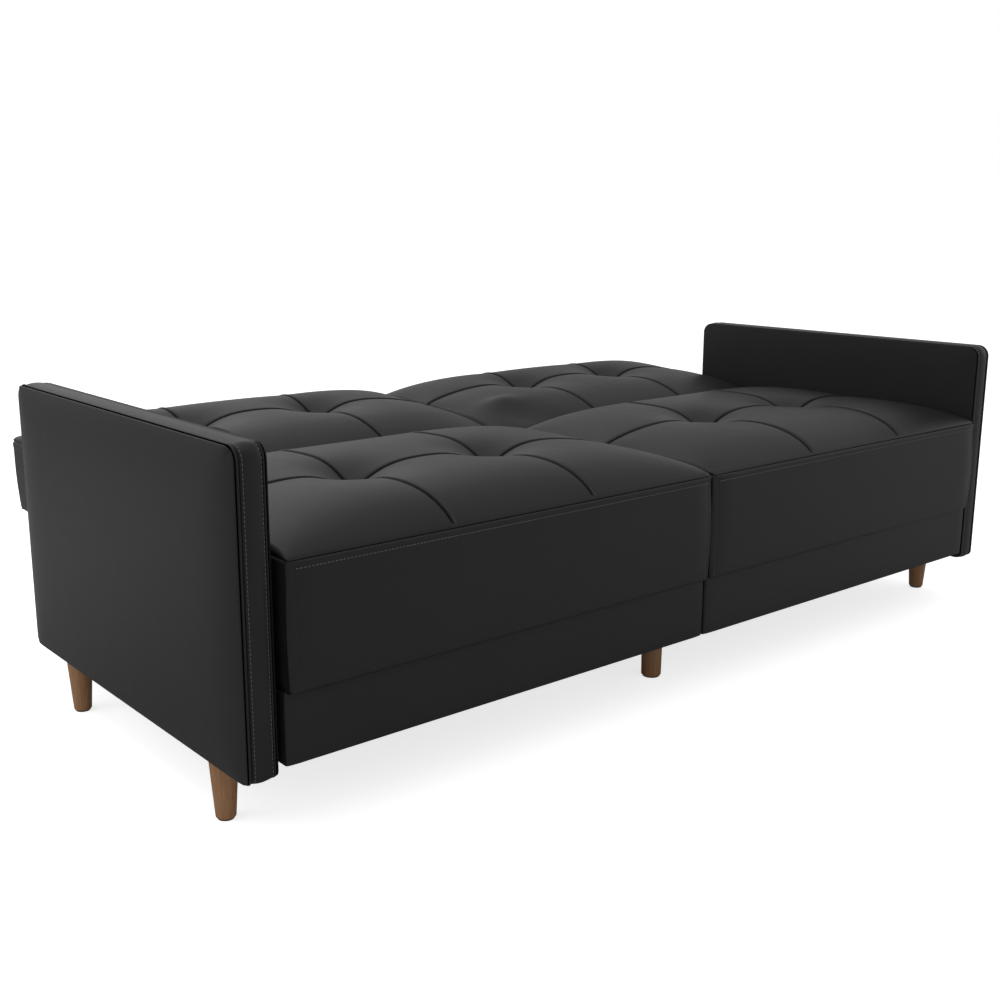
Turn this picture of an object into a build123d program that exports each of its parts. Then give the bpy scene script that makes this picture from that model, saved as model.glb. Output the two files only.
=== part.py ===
"""Futon sofa bed with slim padded arms, a split seat and two split backs that fold flat.

The sofa stands on the floor at Z = 0 with its front towards -Y and X across.
It is drawn as photographed, with both backs laid flat behind the seat as a bed.
Left and right are as seen from the front. All sizes are in millimetres and degrees.
"""

import math
import os

from build123d import *

# Whole sofa
OVERALL_WIDTH = 2100.0  # across the outer faces of the arms
HALF_GAP = 2.5  # from the middle plane to each half of the base, seat and back

# Arms
ARM_THICKNESS = 60.0
ARM_DEPTH = 865.0
ARM_HEIGHT = 534.0  # the upholstered arm, without its legs
ARM_TOP_RADIUS = 26.0
ARM_FOOT_RADIUS = 13.0
ARM_GAP = 15.0  # between an arm and the seat beside it
OUTER_PANEL = 6.0  # padded side panels of the arm
INNER_PANEL = 5.0
OUTER_WELT = 6.0  # width of the sewn welt beside each panel
INNER_WELT = 4.0
WELT_PROUD = 1.5
ARM_BOXING = 5.0  # thickness of the strip round the arm
ARM_RAIL = 112.0  # lower rail of the arm frame, which takes the bolts
ARM_TOP_RAIL = 60.0
ARM_POST = 70.0

# Legs
ARM_LEG_HEIGHT = 109.0  # floor to the underside of an arm
BASE_LEG_HEIGHT = 127.0  # floor to the underside of the base
LEG_TOP_DIAMETER = 49.0
LEG_FOOT_DIAMETER = 34.0
CENTRE_LEG_TOP_DIAMETER = 45.0
CENTRE_LEG_FOOT_DIAMETER = 42.0
LEG_EDGE = 2.0
LEG_INSET_FRONT = 131.0  # leg axis behind the front of the arm
LEG_INSET_REAR = 145.0  # leg axis ahead of the rear of the arm
CENTRE_LEG_INSET_REAR = 120.0  # rear middle leg ahead of the rear of the seat
GLIDE = 3.0
GLIDE_EDGE = 3.0  # the glide is this much smaller all round than the foot
LEG_PLATE = 3.0
LEG_PLATE_LENGTH = 90.0
LEG_PLATE_SIDE = 1.5  # between the plate and the welts beside it
CENTRE_PLATE_WIDTH = 84.0
STUD_DIAMETER = 8.0
STUD_DOWN = 38.0
STUD_UP = 32.0

# Base under the seat
BASE_HEIGHT = 120.0
BASE_SETBACK = 13.0  # front of the base behind the front of the seat
BASE_SIDE_GAP = 10.0  # between the base and the arm, filled by the spacer batten
BASE_COVER = 3.0
BASE_BOARD = 22.0
DUST_COVER = 1.5
BATTEN_HEIGHT = 60.0
BATTEN_INSET = 90.0  # batten end from the front and rear of the base

# Seat
SEAT_LENGTH = 605.0  # front to rear
SEAT_THICKNESS = 213.0  # bottom to the top seam
SEAT_LEAD = 20.0  # front of the seat ahead of the front of the arms
SEAT_ROLL = 60.0  # radius of the rolled rear edge
SEAT_RISE = 42.0  # top of the rolled edge above the top seam
SEAT_TUFT = 297.0  # tuft row from the rear of the seat
SEAT_CORNER = 18.0

# Back
BACK_LENGTH = 548.0
BACK_THICKNESS = 155.0
BACK_ROLL = 70.0  # rolled lower edge, which turns about the hinge pin
BACK_RISE = 38.0
BACK_TUFT = 336.0  # tuft row from the crease end of the back
BACK_CORNER = 18.0
BACK_DRAW = 3.5  # degrees by which the back's sides draw in towards its underside
CREASE_GAP = 4.0  # between the rear of the seat and the rolled edge of the back
BED_TILT = 2.5  # the back laid flat still rises this much towards the rear

# Quilting, all heights above the top seam
COLUMNS = 3
PANEL_CROWN = 46.0
LINE_CROWN = 30.0  # crown of the sewn line between two columns
LINE_RISE = 27.0  # rolled edge at the sewn line
CROSS_LINE = 24.0  # sewn cross line in the middle of a column
TUFT_HEIGHT = -3.0
END_CROWN = 6.0
END_RISE = 4.0
END_CROSS = 1.5
PILLOW_STEPS = (0.0, 0.17, 0.5, 0.83, 1.0)  # sections across one column
PILLOW_POWER = 2.4

# Covers, padding and frames
COVER = 3.0
COVER_RETURN = 60.0  # width of the seat cover turned under and stapled
BACK_RETURN = 26.0
PANEL_GAP = 0.5  # round the rear panel of the back
PADDING_GAP = 1.2  # between a cover and the foam in it
SEAT_BOARD = 18.0
SEAT_DECK = 12.0
SEAT_BOX_HEIGHT = 150.0  # deck and boards together
SEAT_FOAM_FRONT = 36.0  # foam in front of the boards
SEAT_FOAM_REAR = 14.0
COIL_DIAMETER = 66.0
COIL_PITCH = 71.0
BACK_BOARD = 18.0
BACK_BOARD_DROP = 15.0  # top of the boards below the top seam
BACK_FRAME_START = 66.0  # front board from the hinge axis
BACK_FRAME_END = 30.0  # rear board from the rear of the back
STRAP_WIDTH = 50.0
STRAP_THICKNESS = 2.0
STRAP_COUNT = 6

# Hinges, measured inwards from the end of a cushion
HINGE_PLATE = 4.0
PLATE_GAP = 0.5  # between the two plates
HEAD_GAP = 0.3  # under the outer rivet head
RIVET_HEAD = 2.4
RIVET_HEAD_DIAMETER = 20.0
RIVET_DIAMETER = 12.0
RIVET_SET = 0.9  # outer rivet head below the end of the cushion
RUNNING_FIT = 0.05  # radial clearance of a turning pin
FIXED_FIT = 0.02  # radial clearance of a pin that stays put
HINGE_HEAD_RADIUS = 24.0
SEAT_BAR_ANGLE = 205.0  # direction of the seat bar from the hinge axis
SEAT_BAR_REACH = 172.0
SEAT_BAR_WIDTH = 28.0
BACK_BAR_REACH = 150.0
BACK_BAR_WIDTH = 24.0
TOOTH_RADIUS = 2.2
TOOTH_STEP = 12.0
TOOTH_FIRST = -84.0
TOOTH_COUNT = 8
PAWL_PIN_REACH = 46.0
PAWL_PIN_ANGLE = -40.0
PAWL_PIN_DIAMETER = 8.0
PAWL_EYE_RADIUS = 8.0
PAWL_TIP_RADIUS = 3.0
PAWL_TIP_ANGLE = -78.0
PAWL_TIP_GAP = 0.4
PAWL_CAP = 1.2
STOP_REACH = 39.0
STOP_ANGLE = 217.0
STOP_RADIUS = 4.0
STOP_GAP = 0.3
TAIL_HALF = 6.0
POCKET_RADIUS = 58.0
POCKET_DEPTH = 16.5
POCKET_FROM = 112.0  # sector that the seat bar sweeps in the back
POCKET_TO = 224.0
POCKET_SIDE = 5.0  # room beside a bar

# Fasteners
BOLT_DIAMETER = 8.0
BOLT_HEAD = 5.0
BOLT_HEAD_DIAMETER = 16.0
BOLT_BITE = 40.0  # into the arm frame
ARM_BOLT_COUNT = 3
JOINING_BOLT_INSET = 110.0  # from the front and rear of the base
SCREW_DIAMETER = 5.0
SCREW_HEAD = 2.2
SCREW_HEAD_DIAMETER = 10.0
SCREW_BITE = 14.0
HINGE_SCREWS_SEAT = (112.0, 152.0)  # from the hinge axis along the bar
HINGE_SCREWS_BACK = (96.0, 132.0)
LEG_SCREW_STEP = 32.0  # from the leg axis along the plate
CENTRE_SCREW_STEP = 18.0  # from the middle plane
HOLE_FIT = 0.05

# Levels and positions that follow from the sizes above
seat_low = BASE_LEG_HEIGHT + BASE_HEIGHT
seam_z = seat_low + SEAT_THICKNESS
arm_low = ARM_LEG_HEIGHT
arm_inner = OVERALL_WIDTH / 2 - ARM_THICKNESS
seat_outer = arm_inner - ARM_GAP
base_outer = arm_inner - BASE_SIDE_GAP
half_width = seat_outer - HALF_GAP
half_centre = (seat_outer + HALF_GAP) / 2
base_width = base_outer - HALF_GAP
base_centre = (base_outer + HALF_GAP) / 2
tilt = math.radians(BED_TILT)
back_reach = BACK_LENGTH - BACK_ROLL
seam_over_pin = BACK_ROLL - BACK_RISE
back_rear = back_reach * math.cos(tilt) - seam_over_pin * math.sin(tilt)
bed_depth = SEAT_LENGTH + CREASE_GAP + BACK_ROLL + back_rear
seat_front = -bed_depth / 2
seat_rear = seat_front + SEAT_LENGTH
pin_y = seat_rear + CREASE_GAP + BACK_ROLL
pin_z = seam_z - seam_over_pin
arm_front = seat_front + SEAT_LEAD
arm_middle = arm_front + ARM_DEPTH / 2
base_front = seat_front + BASE_SETBACK
base_depth = seat_rear - base_front
base_middle = (base_front + seat_rear) / 2
back_under = seam_over_pin - BACK_THICKNESS
columns = [half_width * (k / COLUMNS - 0.5) for k in range(COLUMNS + 1)]

plate_back_out = RIVET_SET + RIVET_HEAD + HEAD_GAP
plate_back_in = plate_back_out + HINGE_PLATE
plate_seat_out = plate_back_in + PLATE_GAP
plate_seat_in = plate_seat_out + HINGE_PLATE

LOW = (Align.CENTER, Align.CENTER, Align.MIN)


def box_between(x, y, z):
    """A block between the given pairs of limits."""
    block = Box(x[1] - x[0], y[1] - y[0], z[1] - z[0])
    return Pos((x[0] + x[1]) / 2, (y[0] + y[1]) / 2, (z[0] + z[1]) / 2) * block


def rod_z(x, y, low, high, diameter):
    return Pos(x, y, low) * Cylinder(diameter / 2, high - low, align=LOW)


def rod_x(start, end, y, z, diameter):
    rod = Rot(0, 90, 0) * Cylinder(diameter / 2, end - start, align=LOW)
    return Pos(start, y, z) * rod


def polar(reach, degrees):
    angle = math.radians(degrees)
    return reach * math.cos(angle), reach * math.sin(angle)


def joined(shapes):
    whole = shapes[0]
    for shape in shapes[1:]:
        whole = whole + shape
    return whole


def cut(shape, tools):
    for tool in tools:
        shape = shape - tool
    return shape


def both_sides(shape):
    """The right half as drawn and the same piece moved to the left half."""
    return {"right": Pos(half_centre, 0, 0) * shape, "left": Pos(-half_centre, 0, 0) * shape}


def mirrored(shape):
    return {"right": shape, "left": mirror(shape, about=Plane.YZ)}


# Quilted cushions. In their own frame X runs across, Y from the rolled edge to the
# square edge and Z up from the top seam, so seat and back share one drawing.


def quilt_face(x, length, thickness, roll, tuft, inset, heights):
    rise, crown, cross = heights
    radius = roll - inset
    bend = radius / math.sqrt(2)
    top = -inset
    floor = -thickness + inset
    end = length + COVER
    outline = [
        Line((x, inset, floor), (x, inset, rise - roll)),
        ThreePointArc(
            (x, inset, rise - roll),
            (x, roll - bend, rise - roll + bend),
            (x, roll, rise + top),
        ),
        ThreePointArc(
            (x, roll, rise + top),
            (x, (roll + tuft) / 2, crown + top),
            (x, tuft, cross + top),
        ),
        ThreePointArc(
            (x, tuft, cross + top),
            (x, (tuft + length) / 2, crown + top),
            (x, end, top),
        ),
        Line((x, end, top), (x, end, floor)),
        Line((x, end, floor), (x, inset, floor)),
    ]
    return Face(Wire(outline))


def quilt_heights(side, step, rise):
    """Rise, crown and cross line at one section, between the edges of its column."""
    seam = (LINE_RISE, LINE_CROWN, TUFT_HEIGHT)
    end = (END_RISE, END_CROWN, END_CROSS)
    full = (rise, PANEL_CROWN, CROSS_LINE)
    first = end if side == 0 else seam
    last = end if side == COLUMNS - 1 else seam
    pillow = 1 - abs(2 * step - 1) ** PILLOW_POWER
    edge = [a + (b - a) * step for a, b in zip(first, last)]
    return [e + (f - e) * pillow for e, f in zip(edge, full)]


def quilted(length, thickness, roll, rise, tuft, corner, draw, inset):
    pillows = []
    for side in range(COLUMNS):
        low, high = columns[side], columns[side + 1]
        if side == 0:
            low = low - COVER
        if side == COLUMNS - 1:
            high = high + COVER
        faces = []
        for step in PILLOW_STEPS:
            x = low + (high - low) * step
            heights = quilt_heights(side, step, rise)
            faces.append(quilt_face(x, length, thickness, roll, tuft, inset, heights))
        pillows.append(loft(faces))
    return joined(pillows) & quilt_sides(length, thickness, roll, corner, draw, inset)


def quilt_sides(length, thickness, roll, corner, draw, inset):
    """The sides of a cushion, with rounded corners and drawn in towards the bottom."""
    outline = Pos(0, (length - inset - roll) / 2) * Rectangle(
        half_width - 2 * inset, length - inset + roll
    )
    corners = outline.vertices().group_by(Axis.Y)[-1]
    outline = fillet(corners, corner - inset)
    above = extrude(outline, PANEL_CROWN * 2)
    below = extrude(outline, -thickness, taper=draw)
    return above + below


def seat_place(shape):
    return Pos(0, seat_rear, seam_z) * Rot(0, 0, 180) * shape


def back_place(shape):
    """From the frame of the hinge axis, with the back level, to where it lies."""
    return Pos(0, pin_y, pin_z) * Rot(BED_TILT, 0, 0) * shape


def seat_form(inset):
    return seat_place(
        quilted(
            SEAT_LENGTH,
            SEAT_THICKNESS,
            SEAT_ROLL,
            SEAT_RISE,
            SEAT_TUFT,
            SEAT_CORNER,
            0,
            inset,
        )
    )


def back_form(inset):
    form = quilted(
        BACK_LENGTH,
        BACK_THICKNESS,
        BACK_ROLL,
        BACK_RISE,
        BACK_TUFT,
        BACK_CORNER,
        BACK_DRAW,
        inset,
    )
    return Pos(0, -BACK_ROLL, seam_over_pin) * form


# Hinges. Flat parts are drawn in YZ about the hinge axis and given a thickness
# inwards from one end of the cushion; the second end is its mirror image.


def yz_disc(y, z, radius):
    return Pos(y, z) * Circle(radius)


def yz_bar(reach, degrees, width):
    y, z = polar(reach, degrees)
    bar = Pos(y / 2, z / 2) * Rot(0, 0, degrees) * Rectangle(reach, width)
    return bar + yz_disc(y, z, width / 2)


def inward(sketch, start, end):
    """A YZ outline given the thickness from start to end, inwards from the right end."""
    solid = extrude(Plane.YZ * sketch, end - start)
    return Pos(half_width / 2 - end, 0, 0) * solid


def end_rod(y, z, start, end, diameter):
    return rod_x(half_width / 2 - end, half_width / 2 - start, y, z, diameter)


def two_ends(shapes):
    return shapes + [mirror(shape, about=Plane.YZ) for shape in shapes]


rivet_in = plate_seat_in + RIVET_HEAD
pawl_pin = polar(PAWL_PIN_REACH, PAWL_PIN_ANGLE)
pawl_tip = polar(HINGE_HEAD_RADIUS + PAWL_TIP_RADIUS + PAWL_TIP_GAP, PAWL_TIP_ANGLE)
stop_pin = polar(STOP_REACH, STOP_ANGLE)
tail_turn = math.degrees(math.asin((STOP_RADIUS + TAIL_HALF + STOP_GAP) / STOP_REACH))
tail_angle = STOP_ANGLE + tail_turn - BED_TILT


def seat_plate():
    outline = yz_disc(0, 0, HINGE_HEAD_RADIUS)
    outline = outline + yz_bar(SEAT_BAR_REACH, SEAT_BAR_ANGLE, SEAT_BAR_WIDTH)
    for k in range(TOOTH_COUNT):
        y, z = polar(HINGE_HEAD_RADIUS, TOOTH_FIRST + k * TOOTH_STEP)
        outline = outline - yz_disc(y, z, TOOTH_RADIUS)
    outline = outline - yz_disc(0, 0, RIVET_DIAMETER / 2 + FIXED_FIT)
    for reach in HINGE_SCREWS_SEAT:
        y, z = polar(reach, SEAT_BAR_ANGLE)
        outline = outline - yz_disc(y, z, SCREW_DIAMETER / 2 + HOLE_FIT)
    plate = inward(outline, plate_seat_out, plate_seat_in)
    stop = end_rod(*stop_pin, plate_back_out, plate_seat_out, 2 * STOP_RADIUS)
    return plate + stop


def back_plate():
    outline = yz_disc(0, 0, HINGE_HEAD_RADIUS)
    outline = outline + yz_bar(BACK_BAR_REACH, 0, BACK_BAR_WIDTH)
    outline = outline + yz_bar(STOP_REACH, tail_angle, 2 * TAIL_HALF)
    outline = outline + yz_bar(PAWL_PIN_REACH, PAWL_PIN_ANGLE, 2 * PAWL_EYE_RADIUS)
    outline = outline - yz_disc(0, 0, RIVET_DIAMETER / 2 + RUNNING_FIT)
    for reach in HINGE_SCREWS_BACK:
        outline = outline - yz_disc(reach, 0, SCREW_DIAMETER / 2 + HOLE_FIT)
    plate = inward(outline, plate_back_out, plate_back_in)
    cap = plate_seat_in + HEAD_GAP
    pin = end_rod(*pawl_pin, plate_back_in, cap, PAWL_PIN_DIAMETER)
    head = end_rod(*pawl_pin, cap, cap + PAWL_CAP, PAWL_PIN_DIAMETER * 1.5)
    return plate + pin + head


def hinge_rivet():
    shank = end_rod(0, 0, RIVET_SET, rivet_in, RIVET_DIAMETER)
    outer = end_rod(0, 0, RIVET_SET, RIVET_SET + RIVET_HEAD, RIVET_HEAD_DIAMETER)
    inner = end_rod(0, 0, plate_seat_in, rivet_in, RIVET_HEAD_DIAMETER)
    return shank + outer + inner


def pawl():
    y, z = pawl_tip[0] - pawl_pin[0], pawl_tip[1] - pawl_pin[1]
    span = math.hypot(y, z)
    lean = math.degrees(math.asin((PAWL_EYE_RADIUS - PAWL_TIP_RADIUS) / span))
    along = math.degrees(math.atan2(z, y))
    points = []
    for base, radius in ((pawl_pin, PAWL_EYE_RADIUS), (pawl_tip, PAWL_TIP_RADIUS)):
        for side in (1, -1):
            dy, dz = polar(radius, along + side * (90 - lean))
            points.append((base[0] + dy, base[1] + dz))
    arm = make_face(Polyline(points[0], points[2], points[3], points[1], close=True))
    outline = arm + yz_disc(*pawl_pin, PAWL_EYE_RADIUS) + yz_disc(*pawl_tip, PAWL_TIP_RADIUS)
    outline = outline - yz_disc(*pawl_pin, PAWL_PIN_DIAMETER / 2 + RUNNING_FIT)
    return inward(outline, plate_seat_out, plate_seat_in)


def end_screw(y, z, face):
    """A screw through a plate into a board, driven from the end of the cushion."""
    shank = end_rod(y, z, face - SCREW_HEAD, face + HINGE_PLATE + SCREW_BITE, SCREW_DIAMETER)
    head = end_rod(y, z, face - SCREW_HEAD, face, SCREW_HEAD_DIAMETER)
    return shank + head


def end_screw_hole(y, z, face):
    deep = face + HINGE_PLATE + SCREW_BITE
    return end_rod(y, z, face, deep, SCREW_DIAMETER + 2 * HOLE_FIT)


def at_pin(shape):
    return Pos(0, pin_y, pin_z) * shape


seat_screws = []
seat_screw_holes = []
for along in HINGE_SCREWS_SEAT:
    spot = polar(along, SEAT_BAR_ANGLE)
    seat_screws.append(at_pin(end_screw(*spot, plate_seat_out)))
    seat_screw_holes.append(at_pin(end_screw_hole(*spot, plate_seat_out)))
back_screws = [end_screw(along, 0, plate_back_out) for along in HINGE_SCREWS_BACK]
back_screw_holes = [end_screw_hole(along, 0, plate_back_out) for along in HINGE_SCREWS_BACK]

# Room for the hinges in the ends of the cushions
sweep = [(0.0, 0.0)]
for degrees in range(int(POCKET_FROM), int(POCKET_TO) + 1, 16):
    sweep.append(polar(BACK_ROLL * 1.7, degrees))
sector = make_face(Polyline(*sweep, close=True))
bar_room = BACK_BAR_REACH + BACK_BAR_WIDTH / 2 + POCKET_SIDE
back_pocket = [
    inward(yz_disc(0, 0, POCKET_RADIUS), 0, POCKET_DEPTH),
    inward(sector, -1, POCKET_DEPTH),
    inward(
        Pos(bar_room / 2, 0) * Rectangle(bar_room, BACK_BAR_WIDTH + 2 * POCKET_SIDE),
        -1,
        plate_back_in,
    ),
]
seat_room = SEAT_BAR_REACH + SEAT_BAR_WIDTH / 2 + POCKET_SIDE
seat_pocket = [
    at_pin(
        inward(
            yz_bar(seat_room, SEAT_BAR_ANGLE, SEAT_BAR_WIDTH + 2 * POCKET_SIDE),
            -1,
            plate_seat_in,
        )
    )
]

nodes = {}

# Arms, drawn on the right


def arm_outline(inset):
    outline = Pos(arm_middle, arm_low + ARM_HEIGHT / 2) * Rectangle(
        ARM_DEPTH - 2 * inset, ARM_HEIGHT - 2 * inset
    )
    rows = outline.vertices().group_by(Axis.Y)
    outline = fillet(rows[-1], ARM_TOP_RADIUS - inset)
    rows = outline.vertices().group_by(Axis.Y)
    return fillet(rows[0], ARM_FOOT_RADIUS - inset)


def arm_slab(inset, start, end):
    """The arm outline between two distances outwards from the inner face."""
    slab = extrude(Plane.YZ * arm_outline(inset), end - start)
    return Pos(arm_inner + start, 0, 0) * slab


outer_seam = ARM_THICKNESS - OUTER_PANEL
outer_strip = outer_seam - OUTER_WELT
inner_strip = INNER_PANEL + INNER_WELT
arm_x = arm_inner + (inner_strip + outer_strip) / 2
leg_plate_width = outer_strip - inner_strip - 2 * LEG_PLATE_SIDE
leg_spots = [arm_front + LEG_INSET_FRONT, arm_front + ARM_DEPTH - LEG_INSET_REAR]
centre_spots = [leg_spots[0], seat_rear - CENTRE_LEG_INSET_REAR]
bolt_z = BASE_LEG_HEIGHT + BASE_HEIGHT / 2
batten_front = base_front + BATTEN_INSET
batten_rear = seat_rear - BATTEN_INSET
bolt_step = (batten_rear - batten_front) / (ARM_BOLT_COUNT + 1)
bolt_spots = [batten_front + bolt_step * (k + 1) for k in range(ARM_BOLT_COUNT)]
board_outer = base_outer - BASE_COVER
bolt_start = board_outer - BASE_BOARD
bolt_end = arm_inner + INNER_PANEL + BOLT_BITE

arm_bolts = []
arm_bolt_holes = []
for y in bolt_spots:
    shank = rod_x(bolt_start - BOLT_HEAD, bolt_end, y, bolt_z, BOLT_DIAMETER)
    head = rod_x(bolt_start - BOLT_HEAD, bolt_start, y, bolt_z, BOLT_HEAD_DIAMETER)
    arm_bolts.append(shank + head)
    hole = rod_x(bolt_start, bolt_end, y, bolt_z, BOLT_DIAMETER + 2 * HOLE_FIT)
    arm_bolt_holes.append(hole)

leg_screws = []
leg_screw_holes = []
leg_studs = []
stud_holes = []
leg_plates = []
for y in leg_spots:
    low = arm_low - LEG_PLATE
    leg_studs.append(rod_z(arm_x, y, low - STUD_DOWN, arm_low + STUD_UP, STUD_DIAMETER))
    hole = STUD_DIAMETER + 2 * HOLE_FIT
    stud_holes.append(rod_z(arm_x, y, low - STUD_DOWN, arm_low + STUD_UP, hole))
    plate = Pos(arm_x, y, low) * Box(leg_plate_width, LEG_PLATE_LENGTH, LEG_PLATE, align=LOW)
    for side in (1, -1):
        spot = y + side * LEG_SCREW_STEP
        tip = arm_low + ARM_BOXING + SCREW_BITE
        shank = rod_z(arm_x, spot, low - SCREW_HEAD, tip, SCREW_DIAMETER)
        head = rod_z(arm_x, spot, low - SCREW_HEAD, low, SCREW_HEAD_DIAMETER)
        leg_screws.append(shank + head)
        leg_screw_holes.append(rod_z(arm_x, spot, low, tip, SCREW_DIAMETER + 2 * HOLE_FIT))
    leg_plates.append(plate)
leg_plates = [cut(plate, stud_holes + leg_screw_holes) for plate in leg_plates]

arm_holes = stud_holes + leg_screw_holes
arm_ring = arm_slab(0, inner_strip, outer_strip) - arm_slab(ARM_BOXING, 0, ARM_THICKNESS)
arm_boxing = cut(arm_ring, arm_holes)
welt_out = arm_slab(-WELT_PROUD, outer_strip, outer_seam)
welt_in = arm_slab(-WELT_PROUD, INNER_PANEL, inner_strip)
hollow = arm_slab(ARM_BOXING, 0, ARM_THICKNESS)
arm_frame = arm_slab(ARM_BOXING, INNER_PANEL, outer_seam)
window_low = arm_low + ARM_BOXING + ARM_RAIL
window_high = arm_low + ARM_HEIGHT - ARM_BOXING - ARM_TOP_RAIL
window_front = arm_front + ARM_BOXING + ARM_POST
window_rear = arm_front + ARM_DEPTH - ARM_BOXING - ARM_POST
for y in ((window_front, arm_middle - ARM_POST / 2), (arm_middle + ARM_POST / 2, window_rear)):
    window = box_between((arm_inner, arm_inner + ARM_THICKNESS), y, (window_low, window_high))
    arm_frame = arm_frame - window
arm_frame = cut(arm_frame, arm_holes + arm_bolt_holes)
arm_pieces = {
    "arm_frame": arm_frame,
    "arm_boxing": arm_boxing,
    "arm_outer_panel": arm_slab(0, outer_seam, ARM_THICKNESS),
    "arm_inner_panel": cut(arm_slab(0, 0, INNER_PANEL), arm_bolt_holes),
}
for name, shape in arm_pieces.items():
    for hand, piece in mirrored(shape).items():
        nodes[f"{hand}_{name}"] = piece
arm_welts = [welt_out - hollow, welt_in - hollow]
nodes["right_arm_welts"] = arm_welts
nodes["left_arm_welts"] = [mirror(welt, about=Plane.YZ) for welt in arm_welts]

# Legs


def turned_leg(height, foot, top):
    leg = Cone(foot / 2, top / 2, height, align=LOW)
    return fillet(leg.edges().group_by(Axis.Z)[0], LEG_EDGE)


leg_glides = []
for spot, y in zip(("front", "rear"), leg_spots):
    top = arm_low - LEG_PLATE
    leg = turned_leg(top - GLIDE, LEG_FOOT_DIAMETER, LEG_TOP_DIAMETER)
    leg = cut(Pos(arm_x, y, GLIDE) * leg, stud_holes + leg_screws)
    for hand, piece in mirrored(leg).items():
        nodes[f"{spot}_{hand}_leg"] = piece
    leg_glides.append(rod_z(arm_x, y, 0, GLIDE, LEG_FOOT_DIAMETER - 2 * GLIDE_EDGE))
leg_glides = two_ends(leg_glides)
leg_plates = two_ends(leg_plates)
leg_studs = two_ends(leg_studs)
leg_screws = two_ends(leg_screws)

base_board_low = BASE_LEG_HEIGHT + DUST_COVER
centre_screw_holes = []
for spot, y in zip(("front", "rear"), centre_spots):
    top = BASE_LEG_HEIGHT - LEG_PLATE
    stud = rod_z(0, y, top - STUD_DOWN, BASE_LEG_HEIGHT, STUD_DIAMETER)
    stud_hole = rod_z(0, y, top - STUD_DOWN, BASE_LEG_HEIGHT, STUD_DIAMETER + 2 * HOLE_FIT)
    plate = Box(CENTRE_PLATE_WIDTH, LEG_PLATE_LENGTH, LEG_PLATE, align=LOW)
    plate = Pos(0, y, top) * plate - stud_hole
    leg = turned_leg(top - GLIDE, CENTRE_LEG_FOOT_DIAMETER, CENTRE_LEG_TOP_DIAMETER)
    nodes[f"{spot}_centre_leg"] = Pos(0, y, GLIDE) * leg - stud_hole
    for x in (CENTRE_SCREW_STEP, -CENTRE_SCREW_STEP):
        for side in (1, -1):
            place = y + side * LEG_SCREW_STEP
            tip = base_board_low + SCREW_BITE
            shank = rod_z(x, place, top - SCREW_HEAD, tip, SCREW_DIAMETER)
            head = rod_z(x, place, top - SCREW_HEAD, top, SCREW_HEAD_DIAMETER)
            leg_screws.append(shank + head)
            hole = rod_z(x, place, top, tip, SCREW_DIAMETER + 2 * HOLE_FIT)
            centre_screw_holes.append(hole)
            plate = plate - hole
    leg_plates.append(plate)
    leg_studs.append(stud)
    leg_glides.append(rod_z(0, y, 0, GLIDE, CENTRE_LEG_FOOT_DIAMETER - 2 * GLIDE_EDGE))
nodes["leg_plates"] = leg_plates
nodes["leg_studs"] = leg_studs
nodes["leg_screws"] = leg_screws
nodes["leg_glides"] = leg_glides

# Base, drawn on the right

base_high = BASE_LEG_HEIGHT + BASE_HEIGHT
base_block = box_between(
    (HALF_GAP, base_outer), (base_front, seat_rear), (BASE_LEG_HEIGHT, base_high)
)
board_inner = HALF_GAP + BASE_COVER
board_front = base_front + BASE_COVER
board_rear = seat_rear - BASE_COVER
base_room = box_between(
    (board_inner, board_outer), (board_front, board_rear), (BASE_LEG_HEIGHT, base_high)
)
joining_spots = [base_front + JOINING_BOLT_INSET, seat_rear - JOINING_BOLT_INSET]
joining_bolts = []
joining_holes = []
join_face = board_inner + BASE_BOARD
for y in joining_spots:
    shank = rod_x(-join_face - BOLT_HEAD, join_face + BOLT_HEAD, y, bolt_z, BOLT_DIAMETER)
    for x in (-join_face - BOLT_HEAD, join_face):
        shank = shank + rod_x(x, x + BOLT_HEAD, y, bolt_z, BOLT_HEAD_DIAMETER)
    joining_bolts.append(shank)
    hole = rod_x(-join_face, join_face, y, bolt_z, BOLT_DIAMETER + 2 * HOLE_FIT)
    joining_holes.append(hole)
board_levels = (base_board_low, base_high)
side_span = (board_front + BASE_BOARD, board_rear - BASE_BOARD)
base_boards = [
    box_between((board_inner, board_outer), (board_front, side_span[0]), board_levels),
    box_between((board_inner, board_outer), (side_span[1], board_rear), board_levels),
    box_between((board_inner, join_face), side_span, board_levels),
    box_between((bolt_start, board_outer), side_span, board_levels),
    box_between(
        (base_centre - BASE_BOARD / 2, base_centre + BASE_BOARD / 2), side_span, board_levels
    ),
]
base_holes = arm_bolt_holes + joining_holes + centre_screw_holes
base_boards = [cut(board, base_holes) for board in base_boards]
base_cover = cut(base_block - base_room, arm_bolt_holes + joining_holes)
dust_cover = box_between(
    (board_inner, board_outer), (board_front, board_rear), (BASE_LEG_HEIGHT, base_board_low)
)
dust_cover = cut(dust_cover, centre_screw_holes)
batten = box_between(
    (base_outer, arm_inner),
    (batten_front, batten_rear),
    (bolt_z - BATTEN_HEIGHT / 2, bolt_z + BATTEN_HEIGHT / 2),
)
batten = cut(batten, arm_bolt_holes)
nodes["right_base_frame"] = base_boards
nodes["left_base_frame"] = [mirror(board, about=Plane.YZ) for board in base_boards]
for hand, piece in mirrored(base_cover).items():
    nodes[f"{hand}_base_cover"] = piece
nodes["dust_covers"] = two_ends([dust_cover])
nodes["arm_spacers"] = two_ends([batten])
nodes["arm_bolts"] = two_ends(arm_bolts)
nodes["joining_bolts"] = joining_bolts

# Seat, drawn about its own middle plane

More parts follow.
